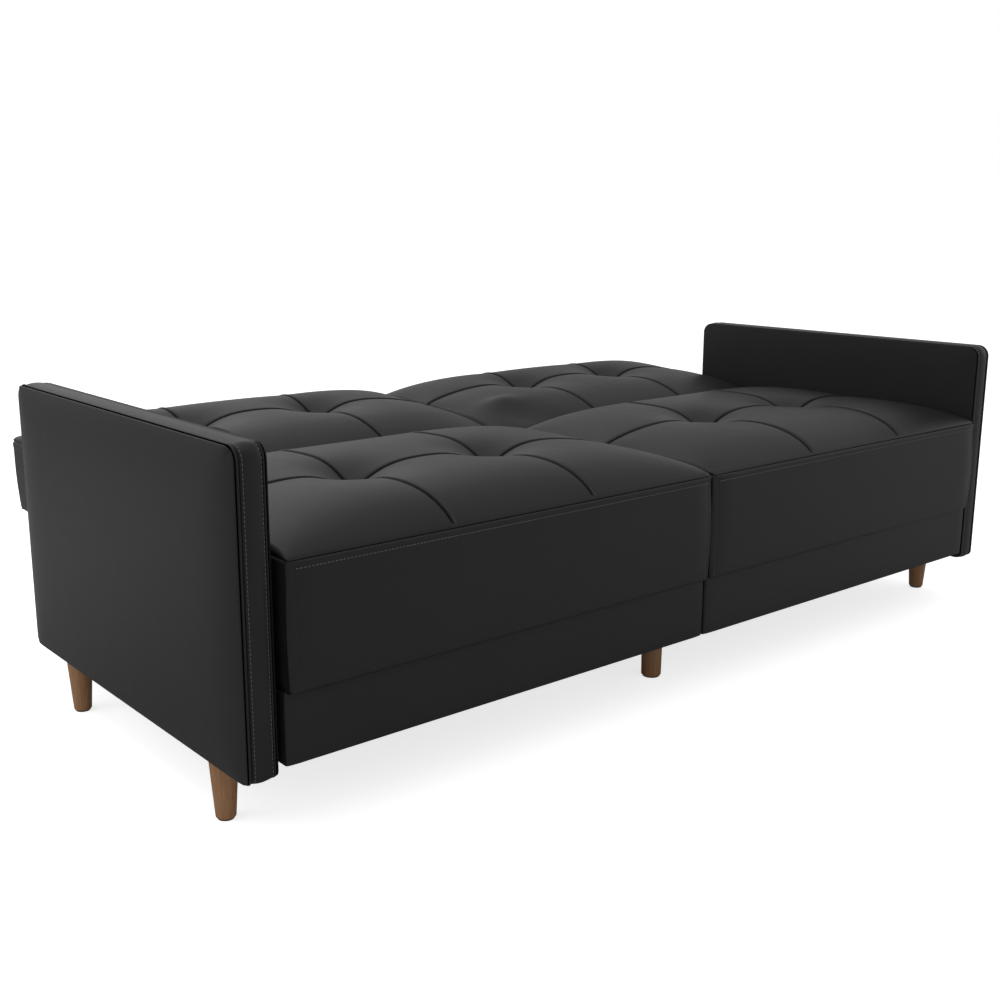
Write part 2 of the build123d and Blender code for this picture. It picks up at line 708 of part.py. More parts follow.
deck_low = seat_low + COVER
box_top = deck_low + SEAT_BOX_HEIGHT
frame_half = half_width / 2 - plate_seat_in
frame_front = seat_front + SEAT_FOAM_FRONT
frame_rear = seat_rear - SEAT_FOAM_REAR
deck_top = deck_low + SEAT_DECK
seat_frame_room = box_between(
    (-frame_half, frame_half), (frame_front, frame_rear), (seat_low, box_top)
)
seat_outer_form = seat_form(0)
seat_inner_form = seat_form(COVER)
seat_padding = seat_form(COVER + PADDING_GAP)
return_opening = box_between(
    (-half_width / 2 + COVER_RETURN, half_width / 2 - COVER_RETURN),
    (seat_front + COVER_RETURN, seat_rear - COVER_RETURN),
    (seat_low - 1, deck_low + 1),
)
seat_cover = cut(seat_outer_form - seat_inner_form - return_opening, two_ends(seat_pocket))
seat_foam = cut(seat_padding - seat_frame_room, two_ends(seat_pocket))
deck = box_between((-frame_half, frame_half), (frame_front, frame_rear), (deck_low, deck_top))
board_z = (deck_top, box_top)
inner_half = frame_half - SEAT_BOARD
seat_boards = [
    box_between((-frame_half, frame_half), (frame_front, frame_front + SEAT_BOARD), board_z),
    box_between((-frame_half, frame_half), (frame_rear - SEAT_BOARD, frame_rear), board_z),
]
for side in two_ends(
    [
        box_between(
            (inner_half, frame_half),
            (frame_front + SEAT_BOARD, frame_rear - SEAT_BOARD),
            board_z,
        )
    ]
):
    seat_boards.append(side)
seat_boards = [cut(board, two_ends(seat_screw_holes)) for board in seat_boards]
coil_room_y = frame_rear - frame_front - 2 * SEAT_BOARD
across = int(2 * inner_half / COIL_PITCH)
deep = int(coil_room_y / COIL_PITCH)
coils = []
for i in range(across):
    for j in range(deep):
        x = (i - (across - 1) / 2) * COIL_PITCH
        y = (frame_front + frame_rear) / 2 + (j - (deep - 1) / 2) * COIL_PITCH
        coils.append(rod_z(x, y, deck_top, box_top, COIL_DIAMETER))
for hand, piece in both_sides(seat_cover).items():
    nodes[f"{hand}_seat_cover"] = piece
for hand, piece in both_sides(seat_foam).items():
    nodes[f"{hand}_seat_foam"] = piece
for hand, piece in both_sides(deck).items():
    nodes[f"{hand}_seat_deck"] = piece
for hand, x in (("right", half_centre), ("left", -half_centre)):
    nodes[f"{hand}_seat_frame"] = [Pos(x, 0, 0) * board for board in seat_boards]
    nodes[f"{hand}_seat_coils"] = [Pos(x, 0, 0) * coil for coil in coils]

# Back, drawn level about the hinge axis

back_half = half_width / 2 - plate_back_in
back_top = seam_over_pin - BACK_BOARD_DROP
back_low = back_under + COVER
back_end = back_reach - BACK_FRAME_END
strap_top = back_top + STRAP_THICKNESS
back_frame_room = box_between(
    (-back_half, back_half), (BACK_FRAME_START, back_end), (back_under, strap_top)
)
back_opening = box_between(
    (-half_width / 2 + BACK_RETURN, half_width / 2 - BACK_RETURN),
    (-BACK_ROLL + BACK_RETURN, back_reach - BACK_RETURN),
    (back_under - 1, back_low + 1),
)
back_cover = back_form(0) - back_form(COVER) - back_opening
back_cover = cut(back_cover, two_ends(back_pocket))
back_foam = cut(back_form(COVER + PADDING_GAP) - back_frame_room, two_ends(back_pocket))
panel_inset = BACK_RETURN + PANEL_GAP
rear_panel = box_between(
    (-half_width / 2 + panel_inset, half_width / 2 - panel_inset),
    (-BACK_ROLL + panel_inset, back_reach - panel_inset),
    (back_under, back_low),
)
rail_z = (back_low, back_top)
rail_span = (BACK_FRAME_START + BACK_BOARD, back_end - BACK_BOARD)
back_boards = [
    box_between((-back_half, back_half), (BACK_FRAME_START, rail_span[0]), rail_z),
    box_between((-back_half, back_half), (rail_span[1], back_end), rail_z),
    box_between((-BACK_BOARD / 2, BACK_BOARD / 2), rail_span, rail_z),
]
for side in two_ends([box_between((back_half - BACK_BOARD, back_half), rail_span, rail_z)]):
    back_boards.append(side)
board_sides = quilt_sides(
    BACK_LENGTH, BACK_THICKNESS, BACK_ROLL, BACK_CORNER, BACK_DRAW, COVER + PADDING_GAP
)
board_sides = Pos(0, -BACK_ROLL, seam_over_pin) * board_sides
back_boards = [cut(board & board_sides, two_ends(back_screw_holes)) for board in back_boards]
strap_step = 2 * back_half / STRAP_COUNT
straps = []
for k in range(STRAP_COUNT):
    x = -back_half + strap_step * (k + 0.5)
    straps.append(
        box_between(
            (x - STRAP_WIDTH / 2, x + STRAP_WIDTH / 2),
            (BACK_FRAME_START, back_end),
            (back_top, strap_top),
        )
    )
back_plates = two_ends([back_plate()])
for hand, x in (("right", half_centre), ("left", -half_centre)):
    place = Pos(x, 0, 0)
    nodes[f"{hand}_back_cover"] = place * back_place(back_cover)
    nodes[f"{hand}_back_foam"] = place * back_place(back_foam)
    nodes[f"{hand}_back_rear_panel"] = place * back_place(rear_panel)
    nodes[f"{hand}_back_frame"] = [place * back_place(board) for board in back_boards]
    nodes[f"{hand}_back_webbing"] = [place * back_place(strap) for strap in straps]
    nodes[f"{hand}_hinge_back_plates"] = [place * back_place(plate) for plate in back_plates]
    nodes[f"{hand}_hinge_back_screws"] = [
        place * back_place(screw) for screw in two_ends(back_screws)
    ]
    right_end, left_end = two_ends([pawl()])
    ends = ("outer", "inner") if hand == "right" else ("inner", "outer")
    nodes[f"{hand}_{ends[0]}_pawl"] = place * back_place(right_end)
    nodes[f"{hand}_{ends[1]}_pawl"] = place * back_place(left_end)

seat_plates = two_ends([at_pin(seat_plate())])
rivets = two_ends([at_pin(hinge_rivet())])
for name, shapes in (
    ("hinge_seat_plates", seat_plates),
    ("hinge_rivets", rivets),
    ("hinge_seat_screws", two_ends(seat_screws)),
):
    nodes[name] = [Pos(x, 0, 0) * s for x in (half_centre, -half_centre) for s in shapes]

os.makedirs("parts", exist_ok=True)
for name, shape in nodes.items():
    if isinstance(shape, list):
        solids = [solid for piece in shape for solid in piece.solids()]
    else:
        solids = shape.solids()
    whole = Compound(children=solids) if len(solids) > 1 else solids[0]
    whole.label = name
    export_step(whole, f"parts/{name}.step")
print(len(nodes), "nodes, bed", round(bed_depth, 2), "deep, hinge", round(pin_y, 3), round(pin_z, 3))
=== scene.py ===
# %% [markdown]
# # Futon sofa bed in black leatherette
#
# The sofa lies open as a bed: two tufted seats in front, two tufted backs folded flat behind them, a slim
# upholstered arm at each side and turned wooden legs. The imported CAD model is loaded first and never
# moved. It fixes the size, the place and the joints, and every soft or visible surface is then modelled
# around it.

# %% Load the frame
import math

import bpy
import numpy as np
from mathutils import Matrix, Vector


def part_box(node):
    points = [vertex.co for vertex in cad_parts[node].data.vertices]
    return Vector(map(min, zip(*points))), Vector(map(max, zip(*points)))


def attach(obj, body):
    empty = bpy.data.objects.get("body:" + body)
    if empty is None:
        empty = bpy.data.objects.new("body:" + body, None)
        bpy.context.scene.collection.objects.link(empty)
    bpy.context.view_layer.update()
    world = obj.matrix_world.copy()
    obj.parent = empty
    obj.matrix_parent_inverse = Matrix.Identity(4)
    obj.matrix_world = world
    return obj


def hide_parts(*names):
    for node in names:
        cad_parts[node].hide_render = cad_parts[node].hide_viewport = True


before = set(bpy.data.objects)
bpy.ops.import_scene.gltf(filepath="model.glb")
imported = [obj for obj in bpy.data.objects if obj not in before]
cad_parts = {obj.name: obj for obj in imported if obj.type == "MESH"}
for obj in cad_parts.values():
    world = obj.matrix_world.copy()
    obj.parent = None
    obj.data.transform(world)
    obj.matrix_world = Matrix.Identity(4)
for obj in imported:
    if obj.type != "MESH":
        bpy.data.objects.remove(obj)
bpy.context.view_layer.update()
bpy.ops.object.select_all(action="DESELECT")
MM = 0.001

# %% [markdown]
# ## Camera
#
# The photograph was taken from the front left, a little above the bed. Its edges were fitted with a
# pinhole camera, which gave a place, three turns and a focal length. A turn is easiest to trust when it
# is written as the three directions of the camera: right, up and backwards.

# %% Camera
CAMERA_PLACE = (-1.9067, -2.15228, 0.9796)
CAMERA_YAW = math.radians(39.092)
CAMERA_PITCH = math.radians(12.916)
CAMERA_ROLL = math.radians(-0.086)
CAMERA_LENS = 45.265
CAMERA_SENSOR = 36
CAMERA_SHIFT = (0.03207, -0.00515)

ahead = Vector(
    (
        math.sin(CAMERA_YAW) * math.cos(CAMERA_PITCH),
        math.cos(CAMERA_YAW) * math.cos(CAMERA_PITCH),
        -math.sin(CAMERA_PITCH),
    )
)
level = Vector((math.cos(CAMERA_YAW), -math.sin(CAMERA_YAW), 0))
upright = level.cross(ahead)
camera_right = level * math.cos(CAMERA_ROLL) + upright * math.sin(CAMERA_ROLL)
camera_up = upright * math.cos(CAMERA_ROLL) - level * math.sin(CAMERA_ROLL)
camera_turn = Matrix((camera_right, camera_up, -ahead)).transposed()

bpy.ops.object.camera_add(location=CAMERA_PLACE, rotation=camera_turn.to_euler())
camera = bpy.context.object
camera.data.sensor_width = CAMERA_SENSOR
camera.data.lens = CAMERA_LENS
camera.data.shift_x, camera.data.shift_y = CAMERA_SHIFT
bpy.context.scene.camera = camera
print("camera at", CAMERA_PLACE, "lens", camera.data.lens)

# %% [markdown]
# ## Floor and studio light
#
# The photograph has a plain white ground and soft light from all round, which is what gives black
# leatherette its grey tops: a dark satin surface shows mostly what it mirrors, and it mirrors more at a
# flat angle. The world is therefore plain white where it is seen. What the leatherette mirrors is one
# wide bright field behind the sofa, because every panel in the photograph is light on its left slope and
# dark on its front one, with a weaker field at the right for the far end of the bed and one overhead for
# the lips beside the seams. A large softbox overhead and one at the left model the forms. The floor is a
# pale sheet with a little glow of its own for the camera, so that it stays white around the sofa and
# still keeps the shadow. Where the leatherette mirrors it, the floor's colour carries painted shade: it
# is painted darker, least so at the right and behind the sofa. World, floor and finishes are all built
# from nodes, so three short helpers come first.

# %% Node helpers
def cleared(owner):
    """A world or a material with an empty node tree."""
    owner.use_nodes = True
    owner.node_tree.nodes.clear()
    return owner


def feed(owner, socket, value):
    """Gives a socket a value, the output of a node, or a node, which stands for its first output."""
    if isinstance(value, bpy.types.Node):
        value = value.outputs[0]
    if isinstance(value, bpy.types.NodeSocket):
        owner.node_tree.links.new(value, socket)
    else:
        socket.default_value = value


def add_node(owner, kind, sockets=(), **settings):
    """A node of a world or a material, with its settings and what feeds its sockets."""
    made = owner.node_tree.nodes.new("ShaderNode" + kind)
    for setting, value in settings.items():
        setattr(made, setting, value)
    for socket, value in dict(sockets).items():
        feed(owner, made.inputs[socket], value)
    return made


print("node helpers ready")

# %% World
WORLD_LIGHT = 0.62
MIRRORED_DIM = 0.2  # of the studio where it is darkest
MIRRORED_FIELD = 0.72  # added in the middle of the bright field
FIELD_MIDDLE = (0.07, 0.92, 0.385)
FIELD_EDGE = 0.55  # cosine of the angle at which the field has faded
FIELD_POWER = 2.0
RIGHT_FIELD = 0.72  # a weaker field straight at the right
RIGHT_EDGE = 0.66
OVERHEAD_FIELD = 0.5  # a weaker field straight overhead
OVERHEAD_EDGE = 0.78
bpy.context.scene.view_settings.view_transform = "Standard"
world = cleared(bpy.data.worlds.new("studio"))
bpy.context.scene.world = world
ray = add_node(world, "LightPath").outputs


def white_sky(strength):
    return add_node(world, "Background", {"Color": (1, 1, 1, 1), "Strength": strength})


direction = add_node(world, "TexCoord").outputs["Generated"]
axes = add_node(world, "SeparateXYZ", {0: direction}).outputs
towards = add_node(world, "VectorMath", {0: direction, 1: FIELD_MIDDLE}, operation="DOT_PRODUCT")
within = add_node(world, "MapRange", {"Value": towards.outputs["Value"], "From Min": FIELD_EDGE})
soft_edge = add_node(world, "Math", {0: within, 1: FIELD_POWER}, operation="POWER")
right_range = {"From Min": RIGHT_EDGE, "To Min": MIRRORED_DIM, "To Max": MIRRORED_DIM + RIGHT_FIELD}
right = add_node(world, "MapRange", {"Value": axes["X"], **right_range})
overhead_range = {"From Min": OVERHEAD_EDGE, "To Max": OVERHEAD_FIELD}
overhead = add_node(world, "MapRange", {"Value": axes["Z"], **overhead_range})
weak_fields = add_node(world, "Math", {0: right, 1: overhead}, operation="ADD")
terms = {0: soft_edge, 1: MIRRORED_FIELD, 2: weak_fields}
mirrored = white_sky(add_node(world, "Math", terms, operation="MULTIPLY_ADD"))
unseen = add_node(world, "MixShader", {0: ray["Is Glossy Ray"], 1: white_sky(WORLD_LIGHT), 2: mirrored})
sky = add_node(world, "MixShader", {0: ray["Is Camera Ray"], 1: unseen, 2: white_sky(1.0)})
add_node(world, "OutputWorld", {"Surface": sky})
print("world light", WORLD_LIGHT, "mirrored", MIRRORED_DIM, "to", MIRRORED_DIM + MIRRORED_FIELD)

# %% Softboxes
def softbox(name, place, aim, width, height, power):
    """A rectangular area light that faces a point."""
    turn = (Vector(aim) - Vector(place)).to_track_quat("-Z", "Y").to_euler()
    bpy.ops.object.light_add(type="AREA", location=place, rotation=turn)
    lamp = bpy.context.object
    lamp.name = name
    lamp.data.shape = "RECTANGLE"
    lamp.data.size = width
    lamp.data.size_y = height
    lamp.data.energy = power
    lamp.visible_glossy = False
    return lamp


softbox("overhead_softbox", place=(-1.0, 0.7, 3.1), aim=(0, 0, 0.4), width=3.0, height=2.2, power=42)
softbox("left_softbox", place=(-3.4, 0.9, 1.9), aim=(-0.4, 0, 0.4), width=1.8, height=1.8, power=13)
print("two softboxes")

# %% Floor
FLOOR_SIZE = 60
FLOOR_GLOW = 0.74
FLOOR_CHALK = 0.82
# Painted shade: where the leatherette mirrors the floor, the floor's colour is painted darker than what
# the camera sees
MIRRORED_SHADED_CHALK = 0.37
MIRRORED_SHADE_ACROSS = ((-1.75, 0.69), (2.5, 1.36))  # painted shade of the mirrored floor: share of that tone at two places across the floor
MIRRORED_SHADE_BEHIND = ((0.3, 1.0), (1.5, 1.7))  # and of the painted shade at two places from the sofa backwards
bpy.ops.mesh.primitive_plane_add(size=FLOOR_SIZE, location=(0, 0, 0))
floor = bpy.context.object
floor.name = "studio_floor"
paint = cleared(bpy.data.materials.new("studio_floor"))
floor_ray = add_node(paint, "LightPath").outputs
floor_place = add_node(paint, "TexCoord").outputs["Object"]
floor_axes = add_node(paint, "SeparateXYZ", {0: floor_place}).outputs


def share_along(axis, near, far):
    """A share that runs from one place along an axis of the floor to another."""
    spread = {"From Min": near[0], "To Min": near[1], "From Max": far[0], "To Max": far[1]}
    return add_node(paint, "MapRange", {"Value": floor_axes[axis], **spread})


def times(first, second):
    return add_node(paint, "Math", {0: first, 1: second}, operation="MULTIPLY")


# Painted shade on the mirrored floor: darker towards the front and the left, lighter at the right and
# behind
painted_shade_share = times(share_along("X", *MIRRORED_SHADE_ACROSS), share_along("Y", *MIRRORED_SHADE_BEHIND))
mirrored_shaded_tone = times(painted_shade_share, MIRRORED_SHADED_CHALK)
tones = {"Value": floor_ray["Is Glossy Ray"], "To Min": FLOOR_CHALK, "To Max": mirrored_shaded_tone}
chalk_and_painted_shade = add_node(paint, "BsdfDiffuse", {"Color": add_node(paint, "MapRange", tones)})
glow = add_node(paint, "Emission", {"Strength": times(floor_ray["Is Camera Ray"], FLOOR_GLOW)})
add_node(paint, "OutputMaterial", {"Surface": add_node(paint, "AddShader", {0: chalk_and_painted_shade, 1: glow})})
floor.data.materials.append(paint)
print("floor", [round(v, 2) for v in floor.dimensions])

# %% [markdown]
# ## Finishes
#
# Every finish is made from noise in object space, so it needs no picture and stays the same size on every
# piece. Leatherette is a black coated cloth: its pebbled grain is under a millimetre, its coat is satin,
# and its gloss wanders a little where it is stretched. Short helpers lay a noise, spread it over two
# tones, let it vary the gloss and raise it as grain, and each finish is then a few lines.

# %% Helpers for finishes
NOISE_RANGE = (0.3, 0.7)  # most of a noise lies between these values


def shader_of(finish):
    return finish.node_tree.nodes["Principled BSDF"]


def feed_shader(finish, socket, value):
    feed(finish, shader_of(finish).inputs[socket], value)


def new_finish(name, roughness, specular=0.5, metallic=0.0):
    """A material with a principled shader whose constants are set on its own sockets."""
    finish = bpy.data.materials.new(name)
    finish.use_nodes = True
    constants = {"Roughness": roughness, "Specular IOR Level": specular, "Metallic": metallic}
    for socket, value in constants.items():
        feed_shader(finish, socket, value)
    return finish


def noise(finish, scale, stretch=(1, 1, 1), detail=4.0):
    """A noise in object space, drawn out along an axis where its stretch is small."""
    where = add_node(finish, "TexCoord").outputs["Object"]
    mapping = add_node(finish, "Mapping", {"Vector": where, "Scale": stretch})
    return add_node(finish, "TexNoise", {"Vector": mapping, "Scale": scale, "Detail": detail})


def two_tones(finish, pattern, dark, light, low=0.35, high=0.65):
    """The pattern's range from low to high, coloured from dark to light."""
    ramp = add_node(finish, "ValToRGB", {"Fac": pattern})
    for element, place, colour in zip(ramp.color_ramp.elements, (low, high), (dark, light)):
        element.position = place
        element.color = (*colour, 1)
    feed_shader(finish, "Base Color", ramp)


def vary_roughness(finish, pattern, finest, roughest):
    start, end = NOISE_RANGE
    spread = {"From Min": start, "From Max": end, "To Min": finest, "To Max": roughest}
    feed_shader(finish, "Roughness", add_node(finish, "MapRange", {"Value": pattern, **spread}))


def raise_grain(finish, pattern, depth, strength):
    """A bump from a pattern, laid on top of any bump that is there already."""
    bump = add_node(finish, "Bump", {"Height": pattern, "Distance": depth, "Strength": strength})
    normal = shader_of(finish).inputs["Normal"]
    if normal.is_linked:
        feed(finish, bump.inputs["Normal"], normal.links[0].from_socket)
    feed_shader(finish, "Normal", bump)


def grained_finish(name, roughness, specular, speckle, grain):
    """A speckle of two tones under a fine grain, each with its own scale of noise."""
    finish = new_finish(name, roughness, specular)
    scale, dark, light = speckle
    two_tones(finish, noise(finish, scale), dark, light)
    scale, depth, strength = grain
    raise_grain(finish, noise(finish, scale), depth, strength)
    return finish


print("finish helpers ready")

# %% Leatherette
leatherette = new_finish("leatherette", 0.43, specular=0.42)
two_tones(leatherette, noise(leatherette, 7.0), (0.0138, 0.0138, 0.0140), (0.0146, 0.0146, 0.0148))
vary_roughness(leatherette, noise(leatherette, 30.0), 0.42, 0.44)
pebble_place = add_node(leatherette, "TexCoord").outputs["Object"]
pebble_size = {"Vector": pebble_place, "Scale": 900.0, "Smoothness": 0.6}
pebbles = add_node(leatherette, "TexVoronoi", pebble_size, feature="SMOOTH_F1")
raise_grain(leatherette, pebbles, 0.35 * MM, 0.16)
raise_grain(leatherette, noise(leatherette, 2400.0), 0.10 * MM, 0.12)
print("leatherette:", len(leatherette.node_tree.nodes), "nodes")

# %% Thread
thread_speckle = (500.0, (0.105, 0.105, 0.106), (0.180, 0.180, 0.182))
thread = grained_finish("thread", 0.62, 0.3, thread_speckle, (2600.0, 0.15 * MM, 0.4))
print("thread")

# %% Turned wood
turned_wood = new_finish("turned_wood", 0.46, specular=0.35)
wood_grain = noise(turned_wood, 380.0, stretch=(1, 1, 0.04), detail=6.0)
two_tones(turned_wood, wood_grain, (0.272, 0.137, 0.062), (0.366, 0.192, 0.091), 0.3, 0.7)
vary_roughness(turned_wood, noise(turned_wood, 120.0, stretch=(1, 1, 0.1)), 0.38, 0.55)
raise_grain(turned_wood, wood_grain, 0.25 * MM, 0.25)
print("turned wood")

# %% Frame timber and foam
frame_timber = new_finish("frame_timber", 0.7, specular=0.25)
timber_grain = noise(frame_timber, 90.0, stretch=(0.08, 1, 1), detail=6.0)
two_tones(frame_timber, timber_grain, (0.42, 0.27, 0.13), (0.62, 0.45, 0.27))
raise_grain(frame_timber, timber_grain, 0.4 * MM, 0.3)
foam_speckle = (60.0, (0.74, 0.68, 0.5), (0.86, 0.81, 0.64))
foam_finish = grained_finish("foam", 0.95, 0.1, foam_speckle, (900.0, 0.6 * MM, 0.5))
print("timber and foam")

# %% Woven and non-woven cloths
coil_speckle = (700.0, (0.68, 0.68, 0.66), (0.84, 0.84, 0.82))
coil_cloth = grained_finish("coil_cloth", 0.9, 0.15, coil_speckle, (1200.0, 0.3 * MM, 0.5))
webbing_cloth = new_finish("webbing_cloth", 0.85, specular=0.2)
webbing_weave = noise(webbing_cloth, 400.0, stretch=(1, 0.2, 1))
two_tones(webbing_cloth, webbing_weave, (0.015, 0.015, 0.016), (0.05, 0.05, 0.052))
raise_grain(webbing_cloth, noise(webbing_cloth, 900.0, stretch=(1, 0.3, 1)), 0.4 * MM, 0.6)
dust_speckle = (240.0, (0.006, 0.006, 0.006), (0.016, 0.016, 0.017))
dust_cloth = grained_finish("dust_cloth", 0.92, 0.15, dust_speckle, (1500.0, 0.3 * MM, 0.6))
print("cloths")

# %% Metals and glides
dark_steel = new_finish("dark_steel", 0.42, specular=0.5)
two_tones(dark_steel, noise(dark_steel, 150.0), (0.014, 0.014, 0.015), (0.028, 0.028, 0.029))
vary_roughness(dark_steel, noise(dark_steel, 700.0), 0.34, 0.52)
bright_steel = new_finish("bright_steel", 0.35, metallic=1.0)
two_tones(bright_steel, noise(bright_steel, 260.0), (0.48, 0.48, 0.48), (0.62, 0.62, 0.63))
vary_roughness(bright_steel, noise(bright_steel, 900.0, stretch=(0.1, 1, 1)), 0.25, 0.45)
glide_speckle = (300.0, (0.03, 0.03, 0.03), (0.055, 0.055, 0.055))
glide_plastic = grained_finish("glide_plastic", 0.6, 0.4, glide_speckle, (1800.0, 0.1 * MM, 0.3))
print("metals and plastic")

# %% [markdown]
# ## Finishes for the parts that keep their CAD shape
#
# Boards, coils, plates, bolts and screws are rigid and hidden or nearly so, and their CAD shape is right.
# They keep it and only get a finish, chosen by a word in their name.

# %% Finish the carried-over nodes
FINISH_BY_WORDS = [
    (bright_steel, ["screws", "rivets", "bolts", "studs"]),
    (dark_steel, ["hinge", "pawl", "plates"]),
    (glide_plastic, ["glides"]),
    (coil_cloth, ["coils"]),
    (webbing_cloth, ["webbing"]),
    (foam_finish, ["foam"]),
    (dust_cloth, ["dust"]),
    (turned_wood, ["leg"]),
    (frame_timber, ["frame", "deck", "spacers"]),
]
for node_name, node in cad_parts.items():
    fitting = [finish for finish, words in FINISH_BY_WORDS if any(word in node_name for word in words)]
    chosen = fitting[0] if fitting else leatherette
    node.data.materials.clear()
    node.data.materials.append(chosen)
print("finished", len(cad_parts), "CAD nodes")

# %% [markdown]
# ## Small modelling helpers
#
# Operators act on whatever is selected, so every step first picks one object. A block is a cube that is
# given its size and then cut by planes: each cut leaves a row of points exactly where a seam, a lip or a
# rounding needs one. The points are afterwards moved to their shape, as one would in sculpt mode, but by
# measure.

# %% Helpers for selecting and editing
TOUCH = 0.01 * MM  # points this close to a plane lie on it
LONG = 10 * MM  # an edge that changes so much along an axis runs along it
FACING = 0.9  # of a normal along an axis, for a face that looks that way
TINY = 1e-9  # keeps a division from meeting zero


def only(piece):
    """Selects one object alone and makes it active."""
    bpy.ops.object.select_all(action="DESELECT")
    piece.select_set(True)
    bpy.context.view_layer.objects.active = piece
    return piece


def edit_all(piece):
    """Goes into edit mode with the whole mesh selected."""
    only(piece)
    bpy.ops.object.mode_set(mode="EDIT")
    bpy.ops.mesh.select_all(action="SELECT")


def leave_edit():
    bpy.ops.object.mode_set(mode="OBJECT")


def pick(piece, mode, wanted):
    """Goes into edit mode with some points, edges (given by their two ends) or faces selected."""
    only(piece)
    bpy.ops.object.mode_set(mode="EDIT")
    bpy.ops.mesh.select_mode(type=mode)
    bpy.ops.mesh.select_all(action="DESELECT")
    leave_edit()
    mesh = piece.data
    if mode == "VERT":
        for point in mesh.vertices:
            point.select = wanted(point.co)
    elif mode == "EDGE":
        for edge in mesh.edges:
            edge.select = wanted(*[mesh.vertices[i].co for i in edge.vertices])
    else:
        for face in mesh.polygons:
            face.select = wanted(face)
    bpy.ops.object.mode_set(mode="EDIT")


def bevel_edges(piece, offset, segments, wanted):
    pick(piece, "EDGE", wanted)
    bpy.ops.mesh.bevel(offset=offset, segments=segments, affect="EDGES")
    leave_edit()


print("selecting helpers ready")


# %% Helpers for blocks, points and shading
def on_level(level, *points):
    """Whether all these points lie at one height."""
    return all(abs(point.z - level) < TOUCH for point in points)


def settle(piece):
    """Puts an object's place, turn and scale into its mesh."""
    only(piece)
    bpy.ops.object.transform_apply(location=True, rotation=True, scale=True)
    return piece


def block(name, low, high):
    """A cube between two corners."""
    low = Vector(low)
    high = Vector(high)
    bpy.ops.object.select_all(action="DESELECT")
    bpy.ops.mesh.primitive_cube_add(size=1, location=(low + high) / 2)
    piece = bpy.context.object
    piece.name = name
    piece.scale = high - low
    return settle(piece)


def cut_across(piece, axis, places):
    """Cuts the whole mesh by planes across one axis, at each place."""
    edit_all(piece)
    normal = [0.0, 0.0, 0.0]
    normal[axis] = 1.0
    for place in places:
        spot = [0.0, 0.0, 0.0]
        spot[axis] = place
        bpy.ops.mesh.select_all(action="SELECT")
        bpy.ops.mesh.bisect(plane_co=spot, plane_no=normal)
    leave_edit()


def read_points(piece):
    flat = np.empty(len(piece.data.vertices) * 3, np.float32)
    piece.data.vertices.foreach_get("co", flat)
    return flat.reshape(-1, 3).astype(float)


def write_points(piece, *points):
    """Moves the points of a mesh, given as one table or as three columns."""
    table = points[0] if len(points) == 1 else np.stack(points, axis=1)
    piece.data.vertices.foreach_set("co", table.astype(np.float32).ravel())
    piece.data.update()


def face_outwards(piece):
    edit_all(piece)
    bpy.ops.mesh.normals_make_consistent(inside=False)
    leave_edit()


def apply_modifiers(piece):
    only(piece)
    for modifier in list(piece.modifiers):
        bpy.ops.object.modifier_apply(modifier=modifier.name)


def give_wall(piece, thickness):
    """Turns a surface into a wall that grows inwards."""
    wall = piece.modifiers.new("wall", "SOLIDIFY")
    wall.thickness = thickness
    wall.offset = -1
    apply_modifiers(piece)


def smooth(piece, sharp_over=None):
    """Shades a piece smooth, and leaves sharp the edges that turn by more than so many degrees."""
    only(piece)
    if sharp_over is None:
        bpy.ops.object.shade_smooth()
    else:
        bpy.ops.object.shade_smooth_by_angle(angle=math.radians(sharp_over))


def show(piece):
    print(piece.name, len(piece.data.polygons), "faces")
    return piece


def own_copy(piece, name):
    only(piece)
    bpy.ops.object.duplicate()
    bpy.context.object.name = name
    return bpy.context.object


def mirrored_copy(piece, name):
    """A copy on the other side of the sofa, with its own mesh and its faces outwards."""
    twin = own_copy(piece, name)
    write_points(twin, read_points(twin) * (-1, 1, 1))
    edit_all(twin)
    bpy.ops.mesh.flip_normals()
    leave_edit()
    return twin


def deliver(piece, body, slot, finish, *nodes):
    """Gives a piece its finish, hangs it on the body it moves with and hides the CAD nodes it stands for.
    """
    piece.data.name = piece.name
    piece.data.materials.clear()
    piece.data.materials.append(finish)
    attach(piece, body)
    if nodes:
        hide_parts(*nodes)
    return piece


def from_ends(low, high, rows):
    """Both ends of a stretch, and places so many mm inside each of them."""
    places = [low, high]
    for row in rows:
        places += [low + row * MM, high - row * MM]
    return places


def stations(fixed, step):
    """The fixed places between the ends, and evenly spread ones where a gap is wider than the step."""
    fixed = sorted(set(round(place, 6) for place in fixed))
    spread = []
    for start, end in zip(fixed, fixed[1:]):
        count = max(1, round((end - start) / step))
        spread.extend(np.linspace(start, end, count, endpoint=False))
    return [float(place) for place in spread[1:]]


print("modelling helpers ready")

# %% [markdown]
# ## Quilted cushions: the sewn lines
#
# Each half of the seat and back is a foam cushion under one tufted cover. The top is a full pillow that
# rises steeply from the seam round it. Two sewn lines run from front to rear at the thirds and one runs
# across, and where they meet a tuft pulls the cover deep into the foam. Seat and back share one drawing.
# X runs across, S runs from the rolled edge at the crease to the square edge, and H is the height above
# the top seam. Heights were read from the photograph: each sewn line lies in an upright plane, so its
# pixels give its height.

